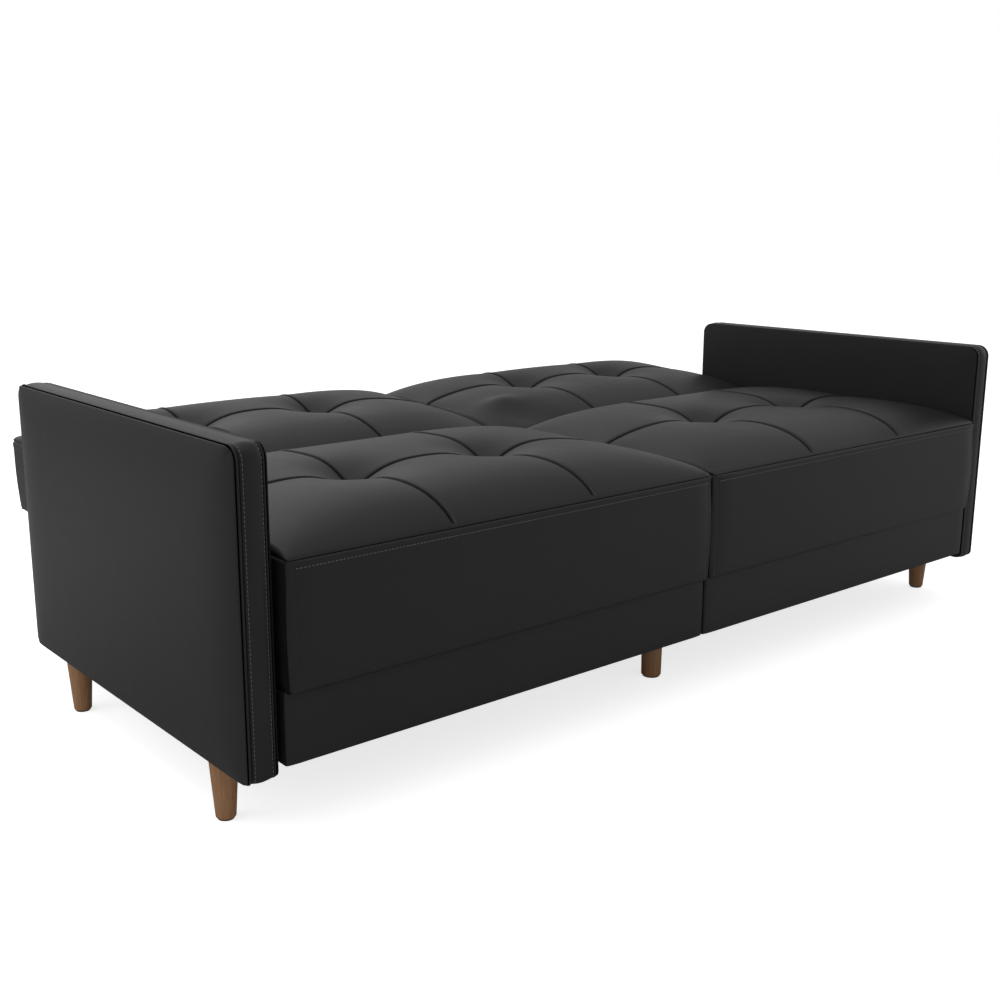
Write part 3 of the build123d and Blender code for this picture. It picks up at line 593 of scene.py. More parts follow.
# %% Sizes of the quilting
CUSHION_WIDTH = 972.5 * MM
HALF_WIDTH = CUSHION_WIDTH / 2
COLUMNS = 3
LIP_REACH = 11 * MM
END_RISE = (0.316, 480 * MM, 4.5)  # share of the steep lip, reach and power of the rise behind it
CORNER_SOFT = 0.45  # share of the lip that is missing at a corner
CORNER_REACH = 42 * MM
TUFT_DEPTH = 40 * MM
TUFT_REACH = 60 * MM
TUFT_POWER = 1.5
PANEL_CROWN = 4.0 * MM
SETTLE_REACH = 150 * MM  # from the rolled edge to the full height of the pillow
SEAT = {
    "length": 605 * MM,
    "thickness": 213 * MM,
    "tuft": 297 * MM,  # place of the tufts along S
    "draw": 0,  # degrees by which the walls draw in downwards
    "bulge": 5 * MM,  # of the front wall
    "fold": 11.0,  # depth of the front seam in mm
    "setback": 5 * MM,  # of the pillow behind the front wall
    "turned": -1,  # side to which the seam across is turned
    "pillow": 57 * MM,
    "roll": (60 * MM, 60 * MM, 51 * MM, 2.0),  # reach, drop, top and power of the rolled edge
    "edge": (0.05, 250 * MM, 4.0),  # the square edge's rise, as in END_RISE
}
BACK = {
    "length": 548 * MM,
    "thickness": 155 * MM,
    "tuft": 336 * MM,
    "draw": 3.5,
    "bulge": 2.5 * MM,
    "fold": 4.0,
    "setback": 0,
    "turned": 1,
    "pillow": 56 * MM,
    "roll": (185 * MM, 84 * MM, 52 * MM, 1.62),
    "edge": (0.30, 140 * MM, 4.0),
}
PIN_DEPTH = 32 * MM  # of the hinge pin below the back's top seam
PIN_REACH = 70 * MM  # of the hinge pin from the back's rolled edge

seat_low, seat_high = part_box("right_seat_cover")
SEAT_REAR = seat_high.y
SEAM_Z = seat_low.z + SEAT["thickness"]
HALF_CENTRE = (seat_low.x + seat_high.x) / 2
pin_low, pin_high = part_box("hinge_rivets")
PIN = Vector((0, (pin_low.y + pin_high.y) / 2, (pin_low.z + pin_high.z) / 2))
BED_TILT = math.radians(2.5)
sewn_x = [CUSHION_WIDTH * (k / COLUMNS - 0.5) for k in range(1, COLUMNS)]
print("seam at", round(SEAM_Z, 4), "hinge pin at", [round(v, 4) for v in PIN])

# %% Top sheet of a cushion
CORNER_POWER = 1.5  # how sharply two edge rises meet
LEAST_RISE = 1e-6


def bell(distance, width, power=2):
    """One in the middle, falling to nothing at about twice the width."""
    return np.exp(-((distance / width) ** power))


def edge_rise(inside, lip, reach, power):
    """From 0 at a seam to 1 at its reach: a steep rounded lip and a slow rise behind it."""
    steep = np.sqrt(1 - (1 - np.clip(inside / LIP_REACH, 0, 1)) ** 2)
    slow = 1 - (1 - np.clip(inside / reach, 0, 1)) ** power
    return lip * steep + (1 - lip) * slow


def both_edges(first, second):
    """Two edge rises together: each alone where the other is full, and softly the less near a corner."""
    first = np.maximum(first, LEAST_RISE)
    second = np.maximum(second, LEAST_RISE)
    return (first**-CORNER_POWER + second**-CORNER_POWER - 1) ** (-1 / CORNER_POWER)


def tufting(kind, x, s):
    """How deep the tufts pull the sheet in."""
    depth = np.zeros_like(x)
    for line in sewn_x:
        reach = np.hypot(x - line, s - kind["tuft"])
        depth = depth + TUFT_DEPTH * bell(reach, TUFT_REACH, TUFT_POWER)
    return depth


def top_sheet(kind, x, s):
    """Place along S, height, and the direction that faces out of the sheet."""
    reach, drop, top, power = kind["roll"]
    inside_end = HALF_WIDTH - np.abs(x)
    inside_edge = kind["length"] - s
    end_lip, end_reach, end_power = END_RISE
    edge_lip, edge_reach, edge_power = kind["edge"]
    end_lip = end_lip * (1 - CORNER_SOFT * bell(inside_edge, CORNER_REACH))
    edge_lip = edge_lip * (1 - CORNER_SOFT * bell(inside_end, CORNER_REACH))
    from_end = edge_rise(inside_end, end_lip, end_reach, end_power)
    from_edge = edge_rise(inside_edge, edge_lip, edge_reach, edge_power)
    turn = np.clip(s / reach, 0, 1) * math.pi / 2
    low = top - drop
    rolled = low + (top * from_end - low) * np.sin(turn) ** (2 / power)
    settle_in = 1 - (1 - np.clip((s - reach) / SETTLE_REACH, 0, 1)) ** 2
    body = (top + (kind["pillow"] - top) * settle_in) * both_edges(from_end, from_edge)
    height = np.where(s < reach, rolled, body) - tufting(kind, x, s)
    along = np.where(s < reach, reach * (1 - np.cos(turn) ** (2 / power)), s)
    return along, height, -np.cos(turn), np.sin(turn)


print("top sheet drawn")

# %% [markdown]
# ## Quilted cushions: filling the panels
#
# A real panel is a piece of flat coated cloth that foam pushes out until the cloth is tight, so it is
# steep beside the stitching and flatter in its middle. That could be sculpted, but Blender's cloth finds
# it by itself: a sheet is laid over the foam, the sewn lines and the edges are pinned, and pressure fills
# what lies between. The sheet hangs a metre above its own origin, because the solver measures its volume
# from there. The swelling is then scaled so that the panels crown as high as they do in the photograph.

# %% Fill the panels
SHEET_STEP = 12 * MM
PANEL_COLUMNS = 27  # columns of the sheet in each panel
SHEET_COLUMNS = PANEL_COLUMNS * COLUMNS
SHEET_LEVEL = 1.0
ROLL_HELD = 0.75  # share of the rolled edge that its own foam holds
SWELL_CAP = 30 * MM
LEAST_CROWN = 0.5 * MM
CLOTH_FRAMES = 20
CLOTH_SETTINGS = {
    "quality": 6,
    "mass": 0.3,
    "tension_stiffness": 12,
    "compression_stiffness": 12,
    "shear_stiffness": 6,
    "bending_stiffness": 1.2,
    "use_pressure": True,
    "uniform_pressure_force": 45.0,
    "vertex_group_mass": "sewn",
}


def sheet_rows(kind):
    """Places of the sheet's rows along S, with one of them on the tuft line."""
    before = round(kind["tuft"] / SHEET_STEP)
    after = round((kind["length"] - kind["tuft"]) / SHEET_STEP)
    first = np.linspace(0, kind["tuft"], before, endpoint=False)
    return np.append(first, np.linspace(kind["tuft"], kind["length"], after + 1))


def lay_sheet(name, kind, rows):
    """A grid over the sewn lines, with its pins in a vertex group."""
    last = len(rows) - 1
    bpy.ops.object.select_all(action="DESELECT")
    bpy.ops.mesh.primitive_grid_add(x_subdivisions=SHEET_COLUMNS, y_subdivisions=last, size=1)
    sheet = bpy.context.object
    sheet.name = name
    grid = read_points(sheet)
    row = np.rint((grid[:, 1] + 0.5) * last).astype(int)
    column = np.rint((grid[:, 0] + 0.5) * SHEET_COLUMNS).astype(int)
    x = (column / SHEET_COLUMNS - 0.5) * CUSHION_WIDTH
    along, height, _, _ = top_sheet(kind, x, rows[row])
    write_points(sheet, x, along, height + SHEET_LEVEL)
    tuft_row = int(np.argmin(np.abs(rows - kind["tuft"])))
    on_line = (column % PANEL_COLUMNS == 0) | (row == tuft_row) | (row == last)
    on_roll = rows[row] < ROLL_HELD * kind["roll"][0]
    pins = sheet.vertex_groups.new(name="sewn")
    pins.add([int(i) for i in np.flatnonzero(on_line | on_roll)], 1.0, "REPLACE")
    return sheet, row, column


def swell(sheet):
    """Runs the cloth and applies it."""
    only(sheet)
    modifier = sheet.modifiers.new("fill", "CLOTH")
    for setting, value in CLOTH_SETTINGS.items():
        setattr(modifier.settings, setting, value)
    modifier.settings.effector_weights.gravity = 0
    modifier.collision_settings.use_collision = False
    modifier.point_cache.frame_start = 1
    modifier.point_cache.frame_end = CLOTH_FRAMES
    for number in range(1, CLOTH_FRAMES + 1):
        bpy.context.scene.frame_set(number)
    bpy.ops.object.modifier_apply(modifier=modifier.name)
    bpy.context.scene.frame_set(1)


def filled_panels(name, kind):
    """Where the sheet's rows lie, and how far each row and column swells, as X, S and height."""
    rows = sheet_rows(kind)
    sheet, row, column = lay_sheet(name, kind, rows)
    before = read_points(sheet)
    swelling = np.zeros((len(rows), SHEET_COLUMNS + 1, 3))
    swell(sheet)
    swelling[row, column] = read_points(sheet) - before
    bpy.data.objects.remove(sheet)
    return rows, swelling


def panel_middles(kind):
    """The middle of each of the six panels, as two arrays."""
    middle_x = [CUSHION_WIDTH * ((k + 0.5) / COLUMNS - 0.5) for k in range(COLUMNS)]
    middle_s = [(kind["roll"][0] + kind["tuft"]) / 2, (kind["tuft"] + kind["length"]) / 2]
    return np.repeat(middle_x, 2), np.tile(middle_s, COLUMNS)


def sample(rows, swelling, x, s):
    """The swelling at any x and S, read between the rows and columns of the sheet."""
    r = np.clip(np.interp(s, rows, np.arange(len(rows))), 0, len(rows) - 1.001)
    c = np.clip((x / CUSHION_WIDTH + 0.5) * SHEET_COLUMNS, 0, SHEET_COLUMNS - 0.001)
    r0 = r.astype(int)
    c0 = c.astype(int)
    fr = (r - r0)[:, None]
    fc = (c - c0)[:, None]
    low = swelling[r0, c0] * (1 - fc) + swelling[r0, c0 + 1] * fc
    high = swelling[r0 + 1, c0] * (1 - fc) + swelling[r0 + 1, c0 + 1] * fc
    return low * (1 - fr) + high * fr


def scaled_swelling(name, kind):
    """The swelling of the sheet, scaled panel by panel to the crown that the photograph shows."""
    rows, swelling = filled_panels(name, kind)
    x, s = panel_middles(kind)
    reached = sample(rows, swelling, x, s)[:, 2]
    gain = (PANEL_CROWN / np.maximum(reached, LEAST_CROWN)).reshape(COLUMNS, 2)
    column = np.minimum(np.arange(SHEET_COLUMNS + 1) // PANEL_COLUMNS, COLUMNS - 1)
    half = (rows > kind["tuft"]).astype(int)
    swelling = np.clip(swelling * gain[column][:, half].T[:, :, None], -SWELL_CAP, SWELL_CAP)
    print(name, "swelled", (reached / MM).round(1), "mm, scaled by", gain.round(2).ravel())
    return rows, swelling


seat_filling = scaled_swelling("seat_sheet", SEAT)
back_filling = scaled_swelling("back_sheet", BACK)

# %% [markdown]
# ## Quilted cushions: the closed shape
#
# The cushion itself is a cube cut into rows. Rows stand close together at the sewn lines, at the top seam
# and round the corners, and wide apart elsewhere. Every point of the cube is then moved: the top takes
# the filled sheet with a groove along each line, the walls take a folded seam, a stitched lip and a
# slight bulge, and the corners are rounded. One subdivision makes the grooves and lips soft.

# %% Rows of the cushion block
LINE_ROWS = [-16, -8, -4.4, -2.8, -1.4, 0, 1.4, 2.6, 3.6, 4.6, 5.8, 7.2, 8.6, 10, 11.6, 17]
END_ROWS = [1, 2.5, 4.5, 6.7, 9, 10.8, 12, 13.2, 17, 24, 36, 50]
EDGE_ROWS = [0.15, 0.6, 1.5, 2.8, 4.5, 6.7, 9, 13, 18, 25, 34, 46]
WALL_ROWS = [0.5, 1.3, 2.6, 4.5, 7.5, 10, 11.5, 13, 16.5, 20, 30]
FOOT_ROWS = [1.2, 3.2, 6, 9]
ROLL_ROWS = 9
COARSE = 19 * MM
WALL_COARSE = 28 * MM


def cushion_block(name, kind):
    """A cube cut at every row that the cushion needs."""
    length = kind["length"]
    deep = kind["thickness"]
    piece = block(name, (-HALF_WIDTH, 0, -deep), (HALF_WIDTH, length, 0))
    x_rows = from_ends(-HALF_WIDTH, HALF_WIDTH, END_ROWS)
    for line in sewn_x:
        x_rows += [line + row * MM for row in LINE_ROWS]
    s_rows = [0, length] + [length - row * MM for row in EDGE_ROWS]
    s_rows += [kind["roll"][0] * k / ROLL_ROWS for k in range(1, ROLL_ROWS + 1)]
    s_rows += [kind["tuft"] + kind["turned"] * row * MM for row in LINE_ROWS]
    h_rows = [0, -deep] + [-row * MM for row in WALL_ROWS] + [row * MM - deep for row in FOOT_ROWS]
    cut_across(piece, 2, stations(h_rows, WALL_COARSE))
    cut_across(piece, 1, stations(s_rows, COARSE))
    cut_across(piece, 0, stations(x_rows, COARSE))
    print(name, len(piece.data.vertices), "points")
    return piece


seat_block = cushion_block("seat_block", SEAT)
back_block = cushion_block("back_block", BACK)

# %% Seams of the cushion
SEWN_FOLD = (9.2, 1.65)  # depth and width in mm
TURNED_SEAM = (2.2, 4.4, 1.9)  # height, distance from the fold and width in mm
CREASE = (1.2, 8.6, 1.6)  # depth, distance from the fold and width in mm
TUFT_POCKET = (5 * MM, 15 * MM)  # depth and reach
LINE_STOP = (1 * MM, 14 * MM)  # a line ends this far from the square edge and fades over this length
CROSS_FADE = 6 * MM  # the line across fades over this length at each end
WALL_OUTS = [-1.4, -0.9, 0.1, 0.6, 0.7, 0.4, 0.0, 0.2, 0.2, 0.2]  # at all the wall's rows but the last
BELLY_START = 20 * MM  # below the top seam
FOOT_REACH = 9 * MM
FOOT_TUCK = 6 * MM
NEARLY_ONE = 0.999  # keeps a rounding from ending in an upright step


def channel(distance):
    """Height of a sewn channel: a deep fold, the turned seam beside it and a shallow crease."""
    mm = distance / MM
    fold_depth, fold_width = SEWN_FOLD
    seam_height, seam_place, seam_width = TURNED_SEAM
    crease_depth, crease_place, crease_width = CREASE
    height = -fold_depth * bell(mm, fold_width)
    height = height + seam_height * bell(mm - seam_place, seam_width)
    height = height - crease_depth * bell(mm - crease_place, crease_width)
    return height * MM


def fade(value, start, end):
    """One before start, falling smoothly to zero at end."""
    step = np.clip((value - start) / (end - start), 0, 1)
    return 1 - step * step * (3 - 2 * step)


def sewn_depth(kind, x, s):
    """All channels and tufts of a cushion, as height along the way out of its sheet."""
    short, fading = LINE_STOP
    stop = kind["length"] - short
    pocket_depth, pocket_reach = TUFT_POCKET
    across = channel((s - kind["tuft"]) * kind["turned"])
    depth = across * fade(np.abs(x), HALF_WIDTH - CROSS_FADE, HALF_WIDTH)
    for line in sewn_x:
        depth += channel(x - line) * fade(s, stop - fading, stop)
        reach = np.hypot(x - line, s - kind["tuft"])
        depth -= pocket_depth * bell(reach, pocket_reach)
    return depth


def wall_profile(down, deep, bulge, fold=4.0):
    """How far a wall stands out at a depth below the top seam: fold, stitched lip, bulge and foot."""
    out = np.interp(down / MM, [0] + WALL_ROWS[:-1], [-fold] + WALL_OUTS) * MM
    belly = np.clip((down - BELLY_START) / (deep - BELLY_START), 0, 1)
    swollen = bulge * np.sin(math.pi * belly) - WALL_OUTS[-1] * MM * belly
    out += np.where(down > BELLY_START, swollen, 0)
    foot = np.clip((down - (deep - FOOT_REACH)) / FOOT_REACH, 0, 1)
    return out - FOOT_TUCK * (1 - np.sqrt(1 - foot**2 * NEARLY_ONE))


print("seams drawn")

# %% Corners and the swelling
CORNER = 9 * MM
SWELL_CREST = (12 * MM, -378 * MM, 46 * MM, 172 * MM, 25 * MM)  # height, x and width, S and width
SWELL_HOLLOW = (11 * MM, -362 * MM, 52 * MM, 112 * MM, 38 * MM)


def round_corner(a, b, end_a, end_b, radius):
    """Places in a rectangle whose far corner is rounded, and the way out of its outline there."""
    u = np.clip((a - end_a + radius) / radius, 0, 1)
    v = np.clip((b - end_b + radius) / radius, 0, 1)
    reach = np.maximum(np.hypot(u, v), TINY)
    pull = np.where((u > 0) & (v > 0), np.maximum(u, v) / reach, 1)
    new_a = np.where(u > 0, end_a - radius + u * pull * radius, a)
    new_b = np.where(v > 0, end_b - radius + v * pull * radius, b)
    return new_a, new_b, u / reach, v / reach


def mound(shape, x, s):
    height, middle_x, width_x, middle_s, width_s = shape
    return height * bell(x - middle_x, width_x) * bell(s - middle_s, width_s)


def hinge_swelling(x, s):
    """The soft swelling over the inner hinge of the right back: a crest and a hollow in front of it."""
    return mound(SWELL_CREST, x, s) - mound(SWELL_HOLLOW, x, s)


print("corners and swelling drawn")

# %% Shape of a cushion
SETBACK_REACH = 60 * MM
END_FACING = 0.99  # of the way out along X, for a wall that belongs to an end
END_BULGE = 1.0 * MM
END_LIMIT = 1.0 * MM  # the ends stand out no further, so that the halves keep their gap
CORNER_SEAM = 12 * MM  # upright seam on the front, from each end
SEAM_DENT = (0.7 * MM, 1.2 * MM)  # its depth and width
SEAM_START = 8 * MM  # below the top seam
FRONT_TURN = 6 * MM  # how far the front wall turns back at its ends
TURN_REACH = 45 * MM
TURN_POWER = 1.6
TURN_START = 6 * MM  # below the top seam
TURN_END = 25 * MM  # above the foot
FOOT_ZONE = 9.5 * MM


def filled_sheet(kind, filling, panel_shares, x, s):
    """The top sheet with its panels filled."""
    along, height, way_s, way_h = top_sheet(kind, x, s)
    rows, swelling = filling
    if swelling is not None:
        column = np.clip(((x / CUSHION_WIDTH + 0.5) * COLUMNS).astype(int), 0, COLUMNS - 1)
        share = panel_shares[column, (s > kind["tuft"]).astype(int)]
        moved = sample(rows, swelling, x, s) * share[:, None]
        along = along + moved[:, 1]
        height = height + moved[:, 2]
    return along, height, way_s, way_h


def front_push(kind, x, h, out_s, on_front):
    """How far the front wall and the corners stand out."""
    deep = kind["thickness"]
    inside = HALF_WIDTH - np.abs(x)
    dent, width = SEAM_DENT
    seam = -dent * bell(inside - CORNER_SEAM, width) * (h < -SEAM_START)
    turned = FRONT_TURN * np.clip(1 - inside / TURN_REACH, 0, 1) ** TURN_POWER * out_s**2
    turned = turned * np.clip(-h / TURN_START, 0, 1) * np.clip((h + deep) / TURN_END, 0, 1)
    out = wall_profile(-h, deep, kind["bulge"], kind["fold"])
    return out - turned + np.where(on_front, seam, 0)


def shape_cushion(piece, kind, filling, panel_shares, full, swollen=False):
    """Moves the points of a cut cube to the quilted cushion."""
    x, s, h = read_points(piece).T
    length = kind["length"]
    deep = kind["thickness"]
    lean = math.tan(math.radians(kind["draw"]))
    top = h > -TOUCH
    low = h < -deep + TOUCH
    on_end = np.abs(x) > HALF_WIDTH - TOUCH
    on_front = s > length - TOUCH
    on_rear = s < TOUCH
    on_roll = s < kind["roll"][0]

    fuller = {**kind, "pillow": kind["pillow"] * full}
    along, height, way_s, way_h = filled_sheet(fuller, filling, panel_shares, x, s)
    if swollen:
        height = height + hinge_swelling(x, s)
    depth = sewn_depth(kind, x, s)
    new_h = h + height * (h + deep) / deep + np.where(top, depth * way_h, 0)
    new_s = along + np.where(top, depth * way_s, 0)
    flat_s = np.where(on_roll, 0, s)
    plan_x, plan_s, out_x, out_s = round_corner(np.abs(x), flat_s, HALF_WIDTH, length, CORNER)
    plan_x = plan_x * np.sign(x)
    out_x = out_x * np.sign(x)
    new_s = new_s + np.where(on_roll, 0, plan_s - s)
    setback = kind["setback"] * np.clip(1 - (length - s) / SETBACK_REACH, 0, 1) ** 2
    new_s = new_s - np.where(top & ~on_front, setback, 0)

    wall = (on_end | on_front) & ~low
    along_end = (np.abs(out_x) > END_FACING) & ~on_front
    end_push = np.minimum(wall_profile(-h, deep, END_BULGE), END_LIMIT)
    push = np.where(along_end, end_push, front_push(kind, x, h, out_s, on_front))
    push = push + np.clip(h, -deep, 0) * lean
    new_x = plan_x + np.where(wall, out_x * push, 0)
    new_s = new_s + np.where(wall, out_s * push, 0)
    foot = wall_profile(-h, deep, 0) * (h < -deep + FOOT_ZONE)
    new_s = new_s - np.where(on_rear & ~low, foot, 0)

    tuck = wall_profile(np.array([deep]), deep, 0)[0] - deep * lean
    new_x = np.where(low, plan_x * (HALF_WIDTH + tuck) / HALF_WIDTH, new_x)
    middle = length / 2
    new_s = np.where(low, middle + (new_s - middle) * (middle + tuck) / middle, new_s)
    write_points(piece, new_x, new_s, new_h)


print("cushion shape drawn")

# %% Seats and backs in their places
HANDS = (("left", -1), ("right", 1))
SHARE_SPREAD = (0.95, 1.05)  # of a panel's crown
FULLNESS = {("right", "seat"): 0.94}  # the right seat's pillow is a little flatter in the photograph
SEED = 7
dice = np.random.default_rng(SEED)
cushions = {}


def about_pin(along, over, angle):
    """Turns places along and over a hinge bar about the hinge pin, to Y and Z."""
    y = PIN.y + along * math.cos(angle) - over * math.sin(angle)
    z = PIN.z + along * math.sin(angle) + over * math.cos(angle)
    return y, z


def place_seat(points, centre):
    x, s, h = points.T
    return np.stack([x + centre, SEAT_REAR - s, SEAM_Z + h], axis=1)


def place_back(points, centre):
    x, s, h = points.T
    return np.stack([x + centre, *about_pin(s - PIN_REACH, h + PIN_DEPTH, BED_TILT)], axis=1)


for hand, side in HANDS:
    for part, kind, source, filling, place in (
        ("seat", SEAT, seat_block, seat_filling, place_seat),
        ("back", BACK, back_block, back_filling, place_back),
    ):
        cushion = own_copy(source, f"{hand}_{part}_cushion")
        shares = dice.uniform(*SHARE_SPREAD, (COLUMNS, 2))
        full = FULLNESS.get((hand, part), 1.0)
        shape_cushion(cushion, kind, filling, shares, full, swollen=(hand, part) == ("right", "back"))
        write_points(cushion, place(read_points(cushion), side * HALF_CENTRE))
        face_outwards(cushion)
        softening = cushion.modifiers.new("soften", "SUBSURF")
        softening.levels = 1
        softening.render_levels = 1
        apply_modifiers(cushion)
        smooth(cushion)
        cushions[hand, part] = show(cushion)
for source in (seat_block, back_block):
    bpy.data.objects.remove(source)

# %% [markdown]
# ## Room for the hinges
#
# A steel hinge sits in each end of a cushion: a bar on the seat, a bar on the back and a rivet between
# them. The covers are cut away there, so that the back can turn without dragging cloth through steel. The
# room is cut with Boolean modifiers. The cutters are a disc round the pin, a fan for the pawl, a fan that
# the seat's bar sweeps, and a slot for each bar, turned about the pin as the hinge is.

# %% Cutters for the hinge room
HEAD_ROOM = 31 * MM
ROOM_DEPTH = 16.5 * MM
PAWL_FAN = (58 * MM, math.radians(215) + BED_TILT, math.radians(385) + BED_TILT)  # radius, start and end
BAR_FAN = (119 * MM, math.radians(99) + BED_TILT, math.radians(224) + BED_TILT)
BACK_SLOT = (167 * MM, 17 * MM, 7.6 * MM)  # reach, half width and depth
SEAT_SLOT = (210 * MM, 19 * MM, 12.1 * MM)
SEAT_BAR = math.radians(205)
PROUD = 6 * MM  # a cutter starts this far outside the cushion


def end_span(centre, end, depth):
    """Lowest and highest x of a cutter that enters one end of a cushion."""
    face = centre + end * HALF_WIDTH
    return sorted((face + end * PROUD, face - end * depth))


def rod(middle, radius, length, vertices):
    """A cylinder along X."""
    bpy.ops.object.select_all(action="DESELECT")
    bpy.ops.mesh.primitive_cylinder_add(
        vertices=vertices,
        radius=radius,
        depth=length,
        location=middle,
        rotation=(0, math.pi / 2, 0),
    )
    return settle(bpy.context.object)


def disc_cutter(span, radius):
    low, high = span
    return rod(((low + high) / 2, PIN.y, PIN.z), radius, high - low, vertices=72)


def fan_cutter(span, radius, start, end):
    """A disc that is bisected twice, so that only the fan between two directions is left."""
    fan = disc_cutter(span, radius)
    edit_all(fan)
    for angle, keep_ahead in ((start, True), (end, False)):
        bpy.ops.mesh.select_all(action="SELECT")
        bpy.ops.mesh.bisect(
            plane_co=PIN,
            plane_no=(0, -math.sin(angle), math.cos(angle)),
            use_fill=True,
            clear_inner=keep_ahead,
            clear_outer=not keep_ahead,
        )
    leave_edit()
    return fan


def slot_cutter(span, reach, half_wide, angle):
    """A bar from the pin outwards, turned about the pin."""
    slot = block("slot", (span[0], 0, -half_wide), (span[1], reach, half_wide))
    x, along, over = read_points(slot).T
    write_points(slot, x, *about_pin(along, over, angle))
    return slot


def cut_away(cushion, cutter):
    face_outwards(cutter)
    room = cushion.modifiers.new("room", "BOOLEAN")
    room.operation = "DIFFERENCE"
    room.solver = "EXACT"
    room.object = cutter
    apply_modifiers(cushion)
    bpy.data.objects.remove(cutter)


print("hinge cutters ready")

# %% Cut the hinge room
LEAST_FACES = 10000  # a cut that fails leaves far fewer
for hand, side in HANDS:
    centre = side * HALF_CENTRE
    for end in (1, -1):
        reach, half_wide, depth = SEAT_SLOT
        bar = slot_cutter(end_span(centre, end, depth), reach, half_wide, SEAT_BAR)
        cut_away(cushions[hand, "seat"], bar)
        back = cushions[hand, "back"]
        cut_away(back, disc_cutter(end_span(centre, end, ROOM_DEPTH), HEAD_ROOM))
        for fan in (PAWL_FAN, BAR_FAN):
            cut_away(back, fan_cutter(end_span(centre, end, ROOM_DEPTH), *fan))
        reach, half_wide, depth = BACK_SLOT
        cut_away(back, slot_cutter(end_span(centre, end, depth), reach, half_wide, BED_TILT))
for cushion in cushions.values():
    assert len(cushion.data.polygons) > LEAST_FACES, cushion.name + " was lost by a cut"
    smooth(cushion, sharp_over=55)
    show(cushion)
print("hinge room cut")

# %% Hand the cushions over
for (hand, part), cushion in cushions.items():
    body = "sofa_frame" if part == "seat" else f"{hand}_back"
    deliver(cushion, body, "leatherette", leatherette, f"{hand}_{part}_cover", f"{hand}_{part}_foam")
print("cushions ride and replace their covers and foam")

# %% [markdown]
# ## Arms
#
# Each arm is a flat board frame in a sewn jacket: a padded panel inside and outside, a strip round the
# edge, and a thin self-covered piping in the two seams between them. The panels are cut blocks whose
# faces are crowned and rolled over at the rim. The strip is a rounded frame that is drawn in at its
# seams. The piping is the arm's own outline turned into a curve with a round bevel, which keeps its
# thickness at every corner.

# %% Outline of the arm
strip_low, strip_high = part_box("right_arm_boxing")
outer_low, outer_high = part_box("right_arm_outer_panel")
inner_low, inner_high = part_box("right_arm_inner_panel")
ARM_FRONT = strip_low.y
ARM_REAR = strip_high.y
ARM_FOOT = strip_low.z
ARM_TOP = strip_high.z
ARM_MIDDLE_Y = (ARM_FRONT + ARM_REAR) / 2
ARM_MIDDLE_Z = (ARM_FOOT + ARM_TOP) / 2
TOP_RADIUS = 26 * MM
FOOT_RADIUS = 13 * MM


def corner_radius(z):
    return np.where(z > ARM_MIDDLE_Z, TOP_RADIUS, FOOT_RADIUS)


def arm_plan(y, z):
    """Places on the rounded outline, and how far inside it each one lies."""
    half_y = (ARM_REAR - ARM_FRONT) / 2
    half_z = (ARM_TOP - ARM_FOOT) / 2
    to_y = np.abs(y - ARM_MIDDLE_Y)
    to_z = np.abs(z - ARM_MIDDLE_Z)
    inside = np.minimum(half_y - to_y, half_z - to_z)
    new_y, new_z, _, _ = round_corner(to_y, to_z, half_y, half_z, corner_radius(z))
    plan_y = ARM_MIDDLE_Y + np.sign(y - ARM_MIDDLE_Y) * new_y
    plan_z = ARM_MIDDLE_Z + np.sign(z - ARM_MIDDLE_Z) * new_z
    return plan_y, plan_z, inside


def way_out(y, z):
    """The direction out of the arm's outline at each point on it."""
    radius = corner_radius(z)
    core_y = np.clip(y, ARM_FRONT + radius, ARM_REAR - radius)
    core_z = np.clip(z, ARM_FOOT + radius, ARM_TOP - radius)
    reach = np.maximum(np.hypot(y - core_y, z - core_z), TINY)
    return (y - core_y) / reach, (z - core_z) / reach


print("arm outline", [round(v, 4) for v in (ARM_FRONT, ARM_REAR, ARM_FOOT, ARM_TOP)])

# %% Padded side panels
RIM_ROWS = [0.4, 1.2, 2.4, 4, 6.5, 10, 14, 18, 22, 26, 34, 46, 60, 90, 125]
PAD_COARSE = 42 * MM
RIM_ROUND = 2.4 * MM  # tight rounding at the very rim
RIM_STEEP = 0.998  # of an upright end of that rounding
RIM_ROLL = 110 * MM  # slow roll behind it
ROLL_POWER = 2.6
ROLL_BLEND = 4  # how sharply the rolls of two edges meet
CROWN_POWER = 5
FLATTER_TOP = 0.75  # the roll at top and foot, as a share of the roll at front and rear
RIM_INSET = 1.2 * MM  # of the rim inside the strip's outline
INSET_REACH = 12 * MM
SEAM_DRAW = 6.5 * MM
OUTER_PROUD = 9 * MM  # of the pad's middle outside the CAD panel
INNER_PROUD = 4 * MM
OUTER_SHAPE = (1.0 * MM, 10.3 * MM, 1.6 * MM)  # how far the rim, the roll and the crown drop
INNER_SHAPE = (0.7 * MM, 4.0 * MM, 0.8 * MM)


def rim_roll(inside):
    return np.clip(1 - inside / RIM_ROLL, 0, 1) ** ROLL_POWER


def crown(value, low, high):
    """One over most of the way from low to high, and zero at both."""
    return 1 - np.abs(2 * (value - low) / (high - low) - 1) ** CROWN_POWER


